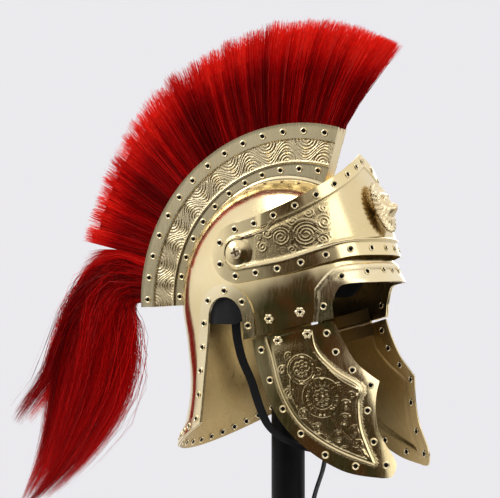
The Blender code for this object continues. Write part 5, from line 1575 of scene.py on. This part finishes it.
def fan_spots(share, rise, across):
    """Points of the fan: share runs from its front to its back, rise from root to tip, across is -1 to 1."""
    low = FAN_START + (PLUME_SPLIT_ANGLE - FAN_START) * share
    high = PLUME_TIP_FRONT_ANGLE + (PLUME_SPLIT_ANGLE - PLUME_TIP_FRONT_ANGLE) * share
    fullness = 1.0 - 0.05 * (1 - smooth_step(share, 0.0, 0.15)) - 0.08 * smooth_step(share, 0.6, 1.0)
    reach = (PLUME_OUTER_RADIUS - ROOT_RADIUS) * fullness
    rim = PLUME_ROOT_DEPTH / reach
    lean = np.maximum(0.0, rise - rim) / (1 - rim)
    spreading = np.interp(rise, (0.0, 0.17, 0.6, 0.94, 1.0), (0.0, 0.0, 0.55, 1.0, 0.9))
    half = ROOT_HALF + (0.5 * PLUME_TIP_WIDTH - ROOT_HALF) * spreading
    return crest_spots(half * across, ROOT_RADIUS + reach * rise, low + (high - low) * lean)


def closed_grid(name, grid, look, attribute):
    """A closed body from rings of points, one ring for each row, with its ends closed."""
    index = np.arange(grid.shape[0] * grid.shape[1]).reshape(grid.shape[:2])
    faces = [ring_faces(*grid.shape[:2]), index[:1, ::-1], index[-1:]]
    made = add_mesh(name, place(grid.reshape(-1, 3)), faces, "helmet", look, {"shade": attribute.ravel()})
    return made


def make_fan():
    shares = np.linspace(0.02, 0.985, 90)
    rises = np.concatenate([np.linspace(0.02, 0.74, 16), np.linspace(0.74, 0.02, 16)])
    sides = np.concatenate([np.full(16, -0.8), np.full(16, 0.8)])
    share, rise = np.meshgrid(shares, rises, indexing="ij")
    grid = fan_spots(share, rise, np.broadcast_to(sides, share.shape))
    # The core is darkest at the roots and lighter upwards: painted shade of the hair's inner mass.
    core = closed_grid("fan_core", grid, horsehair, 0.05 + 0.3 * rise)
    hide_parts("plume_fan")
    rng = np.random.default_rng(11)
    count, steps, locks = FAN_STRANDS, FAN_POINTS, FAN_LOCKS
    lock_share = np.sort(rng.uniform(0, 1, locks))
    lock_side = rng.uniform(-1, 1, locks)
    lock_drift = rng.normal(0, 0.006, locks)
    lock_reach = rng.normal(0, 0.008, locks)
    lock_tone = rng.normal(0, 0.13, locks)
    root = rng.uniform(0, 1, count)
    ends = rng.uniform(0, 1, count) < 0.06
    root[ends] = np.abs(rng.normal(0, 0.012, ends.sum()))
    nearest = np.clip(np.searchsorted(lock_share, root + rng.normal(0, 0.008, count)), 0, locks - 1)
    side = np.sign(rng.uniform(-1, 1, count)) * (1 - rng.uniform(0, 1, count) ** 1.8)
    side[ends] = rng.uniform(-1, 1, ends.sum())
    t = np.linspace(0, 1, steps)
    reach = 1.0 - 0.07 * smooth_step(root, 0.2, 0.5) - 0.08 * smooth_step(root, 0.5, 0.85)
    reach = reach + lock_reach[nearest] - 0.10 * rng.uniform(0, 1, count) ** 2 + rng.normal(0, 0.008, count)
    rise = 0.03 + (reach[:, None] - 0.03) * t[None]
    pull = 0.5 * t ** 1.3
    wobble = rng.normal(0, 0.0035, (count, 1))
    wobble = wobble * np.sin(rng.uniform(2, 7, (count, 1)) * t + rng.uniform(0, 6, (count, 1)))
    target = lock_share[nearest] + lock_drift[nearest]
    share = root[:, None] + (target - root)[:, None] * pull[None] + wobble + rng.normal(0, 0.006, (count, 1)) * t
    gather = lock_side[nearest]
    across = side[:, None] * (1 + 0.04 * rng.normal(size=(count, 1)) * t)
    across = across + 0.10 * (gather - side)[:, None] * t * (1 - np.abs(side))[:, None]
    paths = fan_spots(np.clip(share, -0.004, 1.004), rise, np.clip(across, -1.04, 1.04))
    tone = lock_tone[nearest] + rng.normal(0, 0.12, count)
    # Darker at the roots and brighter towards the tips: painted shade and light; each lock's and strand's random
    # tone is the hair's own.
    shade = np.clip(0.16 + 0.24 * t[None] + 0.55 * smooth_step(t, 0.55, 0.95)[None] + tone[:, None], 0.02, 1)
    widths = rng.uniform(0.5, 0.95, count)
    strands("fan_hair", paths, widths, shade, 12, 0.7)


def make_tail():
    gap = math.degrees((CREST_PLATE + PLUME_CLEARANCE) / ROOT_RADIUS)
    middle = math.radians(0.5 * (PLUME_SPLIT_ANGLE + CREST_BACK_ANGLE))
    half_root = math.radians(0.5 * (CREST_BACK_ANGLE - PLUME_SPLIT_ANGLE) - gap) * ROOT_RADIUS
    outward = np.array([0.0, math.cos(middle), math.sin(middle)])
    start = np.array([0.0, CREST_FORWARD, 0.0]) + outward * ROOT_RADIUS
    middles = [start, start + outward * (PLUME_ROOT_DEPTH + 4.0)]
    sizes = [(2 * half_root, CREST_WIDTH - 2 * (CREST_PLATE + PLUME_CLEARANCE))] * 2
    for back, down, width, thickness in TAIL_ROWS:
        middles.append(start + np.array([0.0, -back, -down]) * TAIL_LENGTH)
        sizes.append((width * TAIL_WIDTH, thickness * TAIL_THICKNESS))
    path = smooth_path(middles, 5)
    size = smooth_path(sizes, 5)
    ahead = directions(path)
    over = np.stack([np.zeros(len(path)), -ahead[:, 2], ahead[:, 1]], axis=1)
    over[:8] = over[0]
    over /= np.linalg.norm(over, axis=1)[:, None]
    total = len(path)

    def tail_spots(place_along, wide, thick):
        """Points of the tail: place_along is 0 to 1, wide and thick are -1 to 1."""
        at = np.clip(place_along, 0, 1) * (total - 1)
        keys = np.arange(total)
        centre = np.stack([np.interp(at, keys, path[:, k]) for k in range(3)], axis=-1)
        turned = np.stack([np.interp(at, keys, over[:, k]) for k in range(3)], axis=-1)
        half_wide = 0.5 * np.interp(at, keys, size[:, 0])
        half_thick = 0.5 * np.interp(at, keys, size[:, 1])
        spots = centre + turned * (half_wide * wide)[..., None]
        spots[..., 0] += half_thick * thick
        return spots

    ring = 2 * math.pi * np.arange(20) / 20
    places = np.linspace(0.02, 0.86, 44)
    along_tail, angle = np.meshgrid(places, ring, indexing="ij")
    shrink = 0.68 - 0.5 * smooth_step(along_tail, 0.42, 0.82)
    # The core is darker near the root: painted shade.
    core = closed_grid("tail_core", tail_spots(along_tail, shrink * np.cos(angle), shrink * np.sin(angle)),
                       horsehair, 0.12 + 0.1 * along_tail)
    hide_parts("plume_tail")
    rng = np.random.default_rng(23)
    count, steps, locks = TAIL_STRANDS, TAIL_POINTS, TAIL_LOCKS
    lock_angle = rng.uniform(0, 2 * math.pi, locks)
    lock_reach = np.sqrt(rng.uniform(0.15, 1.0, locks))
    lock_wide, lock_thick = lock_reach * np.cos(lock_angle), lock_reach * np.sin(lock_angle)
    lock_end = rng.uniform(0.72, 1.0, locks)
    lock_tone = rng.normal(0, 0.16, locks)
    mine = rng.integers(0, locks, count)
    t = np.linspace(0, 1, steps) ** 1.2
    root_angle = rng.uniform(0, 2 * math.pi, count)
    root_reach = np.sqrt(rng.uniform(0.1, 1.0, count))
    gathered = smooth_step(t, 0.15, 0.75)[None]
    ends = lock_end[mine] * rng.uniform(0.86, 1.0, count)
    wide = (root_reach * np.cos(root_angle))[:, None] * (1 - gathered) + lock_wide[mine][:, None] * gathered
    thick = (root_reach * np.sin(root_angle))[:, None] * (1 - gathered) + lock_thick[mine][:, None] * gathered
    loose = rng.normal(0, 0.13, (count, 2)) * np.where(rng.uniform(0, 1, (count, 1)) < 0.06, 2.6, 1.0)
    wave_size = rng.normal(0, 0.05, (count, 1))
    wave_turn = rng.uniform(0, 6, (count, 1))
    wide = wide + loose[:, 0:1] * t + wave_size * np.sin(5 * t[None] + wave_turn)
    thick = thick + loose[:, 1:2] * t + wave_size * np.cos(4 * t[None] + wave_turn)
    aside = (mine < LOCKS_ASIDE)[:, None]
    ends[aside[:, 0]] *= 0.8 / lock_end[mine[aside[:, 0]]]
    place_along = ends[:, None] * t[None]
    narrowed = 0.92 - 0.34 * smooth_step(place_along, 0.45, 0.85)
    leaving = -0.65 + 0.5 * loose[:, 0:1] - 0.7 * smooth_step(place_along, 0.56, 0.82) ** 1.3
    wide = np.where(aside, wide * (1 - gathered) + leaving * gathered, np.clip(wide, -1.25, 1.25) * narrowed)
    paths = tail_spots(place_along, wide, np.clip(thick, -1.1, 1.1))
    filled = FILLING_STRANDS
    share = rng.uniform(0.1, 1.0, (filled, 1)) ** 0.8
    reach = t[None] * rng.uniform(0.75, 1.0, (filled, 1))
    across = rng.uniform(-0.9, 0.9, (filled, 1)) + 0 * reach
    upper = fan_spots(1.0 + 0 * reach, 0.03 + 0.8 * reach, across)
    lower = tail_spots(0.42 * reach, -0.7 + 0 * reach, 0.9 * across)
    between = upper * (1 - share[..., None]) + lower * share[..., None]
    paths = np.concatenate([paths, between])
    tone = np.concatenate([lock_tone[mine] + rng.normal(0, 0.12, count), rng.normal(-0.05, 0.12, filled)])
    # Brighter on the tail's upper outer side, for the filling strands, and towards the tips: painted light; the
    # random tone is the hair's own.
    lit = np.concatenate([np.clip(-wide, 0, 1), np.ones((filled, steps))])
    shade = np.clip(0.08 + 0.22 * smooth_step(t, 0.0, 0.5)[None] + 0.3 * lit + tone[:, None], 0.02, 1)
    strands("tail_hair", paths, rng.uniform(0.45, 0.85, count + filled), shade, 24)


# Stage


def make_stage():
    points, faces = spun([(0.001, 0.0), (1000.0, 0.0), (3000.0, 0.0), (12000.0, 0.0)], 64)
    mesh = bpy.data.meshes.new("floor")
    mesh.from_pydata((points * MM).tolist(), [], faces.tolist())
    floor = bpy.data.objects.new("floor", mesh)
    bpy.context.scene.collection.objects.link(floor)
    look, nodes, links, shader = new_material("pale_floor")
    shader.inputs["Base Color"].default_value = (*FLOOR_COLOUR, 1.0)
    shader.inputs["Roughness"].default_value = 0.7
    shader.inputs["Specular IOR Level"].default_value = 0.1
    glow = nodes.new("ShaderNodeEmission")
    glow.inputs["Color"].default_value = (*BACKDROP, 1.0)
    clear = nodes.new("ShaderNodeBsdfTransparent")
    path = nodes.new("ShaderNodeLightPath")
    coordinates = nodes.new("ShaderNodeTexCoord")
    length = nodes.new("ShaderNodeVectorMath")
    length.operation = "LENGTH"
    links.new(coordinates.outputs["Object"], length.inputs[0])
    far = ranged(nodes, links, length.outputs["Value"], 0.30, 0.75, 0.0, 1.0)
    plain = nodes.new("ShaderNodeMixShader")
    links.new(path.outputs["Is Camera Ray"], plain.inputs[0])
    links.new(clear.outputs[0], plain.inputs[1])
    links.new(glow.outputs[0], plain.inputs[2])
    blend = nodes.new("ShaderNodeMixShader")
    links.new(far, blend.inputs[0])
    links.new(shader.outputs[0], blend.inputs[1])
    links.new(plain.outputs[0], blend.inputs[2])
    links.new(blend.outputs[0], nodes["Material Output"].inputs["Surface"])
    mesh.materials.append(look)


def make_lights():
    world = bpy.data.worlds.new("studio")
    bpy.context.scene.world = world
    world.use_nodes = True
    nodes, links = world.node_tree.nodes, world.node_tree.links
    coordinates = nodes.new("ShaderNodeTexCoord")
    toward = nodes.new("ShaderNodeVectorMath")
    toward.operation = "DOT_PRODUCT"
    toward.inputs[1].default_value = (VIEW_FROM + Vector((0.0, 0.0, -0.25))).normalized()
    links.new(coordinates.outputs["Generated"], toward.inputs[0])
    streaks = noise(nodes, links, 2.6, 3, (1.6, 1.6, 0.4), "Generated")
    streaks = ranged(nodes, links, streaks, 0.3, 0.7, -0.16, 0.16)
    height = nodes.new("ShaderNodeVectorMath")
    height.operation = "DOT_PRODUCT"
    height.inputs[1].default_value = (0.0, 0.0, 1.0)
    links.new(coordinates.outputs["Generated"], height.inputs[0])
    total = combined(nodes, links, "ADD", toward.outputs["Value"], streaks)
    upwards = ranged(nodes, links, height.outputs["Value"], 0.05, 0.6, 0.0, -0.55)
    shadow = ranged(nodes, links, combined(nodes, links, "ADD", total, upwards), 0.22, 0.62, 0.0, 1.0)
    patches = ranged(nodes, links, noise(nodes, links, 3.4, 2, (1.0, 1.0, 0.7), "Generated"), 0.42, 0.58, 0.0, 1.0)
    dark = mix_colours(nodes, links, patches, (0.055, 0.024, 0.010), (0.022, 0.026, 0.011))
    room = nodes["Background"]
    above = ranged(nodes, links, height.outputs["Value"], -0.45, 0.15, 0.0, 1.0)
    pale = mix_colours(nodes, links, above, (0.52, 0.50, 0.47), (0.93, 0.92, 0.93))
    links.new(mix_colours(nodes, links, shadow, pale, dark), room.inputs["Color"])
    room.inputs["Strength"].default_value = 1.0
    plain = nodes.new("ShaderNodeBackground")
    plain.inputs["Color"].default_value = (*BACKDROP, 1.0)
    path = nodes.new("ShaderNodeLightPath")
    mix = nodes.new("ShaderNodeMixShader")
    links.new(path.outputs["Is Camera Ray"], mix.inputs[0])
    links.new(room.outputs[0], mix.inputs[1])
    links.new(plain.outputs[0], mix.inputs[2])
    links.new(mix.outputs[0], nodes["World Output"].inputs["Surface"])

    for name, spot, width, across, power in SOFTBOXES:
        light = bpy.data.lights.new(name, "AREA")
        light.shape = "RECTANGLE"
        light.size, light.size_y = width, across
        light.energy = power
        made = bpy.data.objects.new(name, light)
        made.location = spot
        made.rotation_euler = (LIGHT_TARGET - Vector(spot)).to_track_quat("-Z", "Y").to_euler()
        bpy.context.scene.collection.objects.link(made)


def make_camera():
    data = bpy.data.cameras.new("camera")
    data.sensor_width = 36.0
    data.lens = LENS
    data.clip_end = 60.0
    camera = bpy.data.objects.new("camera", data)
    camera.location = VIEW_FROM * DISTANCE + Vector((0.0, 0.0, DATUM_HEIGHT * MM))
    camera.rotation_euler = (AIM - camera.location).to_track_quat("-Z", "Y").to_euler()
    bpy.context.scene.collection.objects.link(camera)
    bpy.context.scene.camera = camera


def dress_hinges():
    for name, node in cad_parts.items():
        if name.startswith("hinge_"):
            node.data.materials.clear()
            node.data.materials.append(leaf)


make_camera()
make_lights()
make_stage()
make_stand()
make_shell()
make_liner()
make_bands()
make_visor()
make_pivots()
make_medallion()
make_crest_box()
for side_name, side_sign in SIDES:
    make_cheek_guard(side_name, side_sign)
make_eyelets()
make_strap()
dress_hinges()
make_fan()
make_tail()
bpy.context.scene.view_settings.view_transform = "Standard"
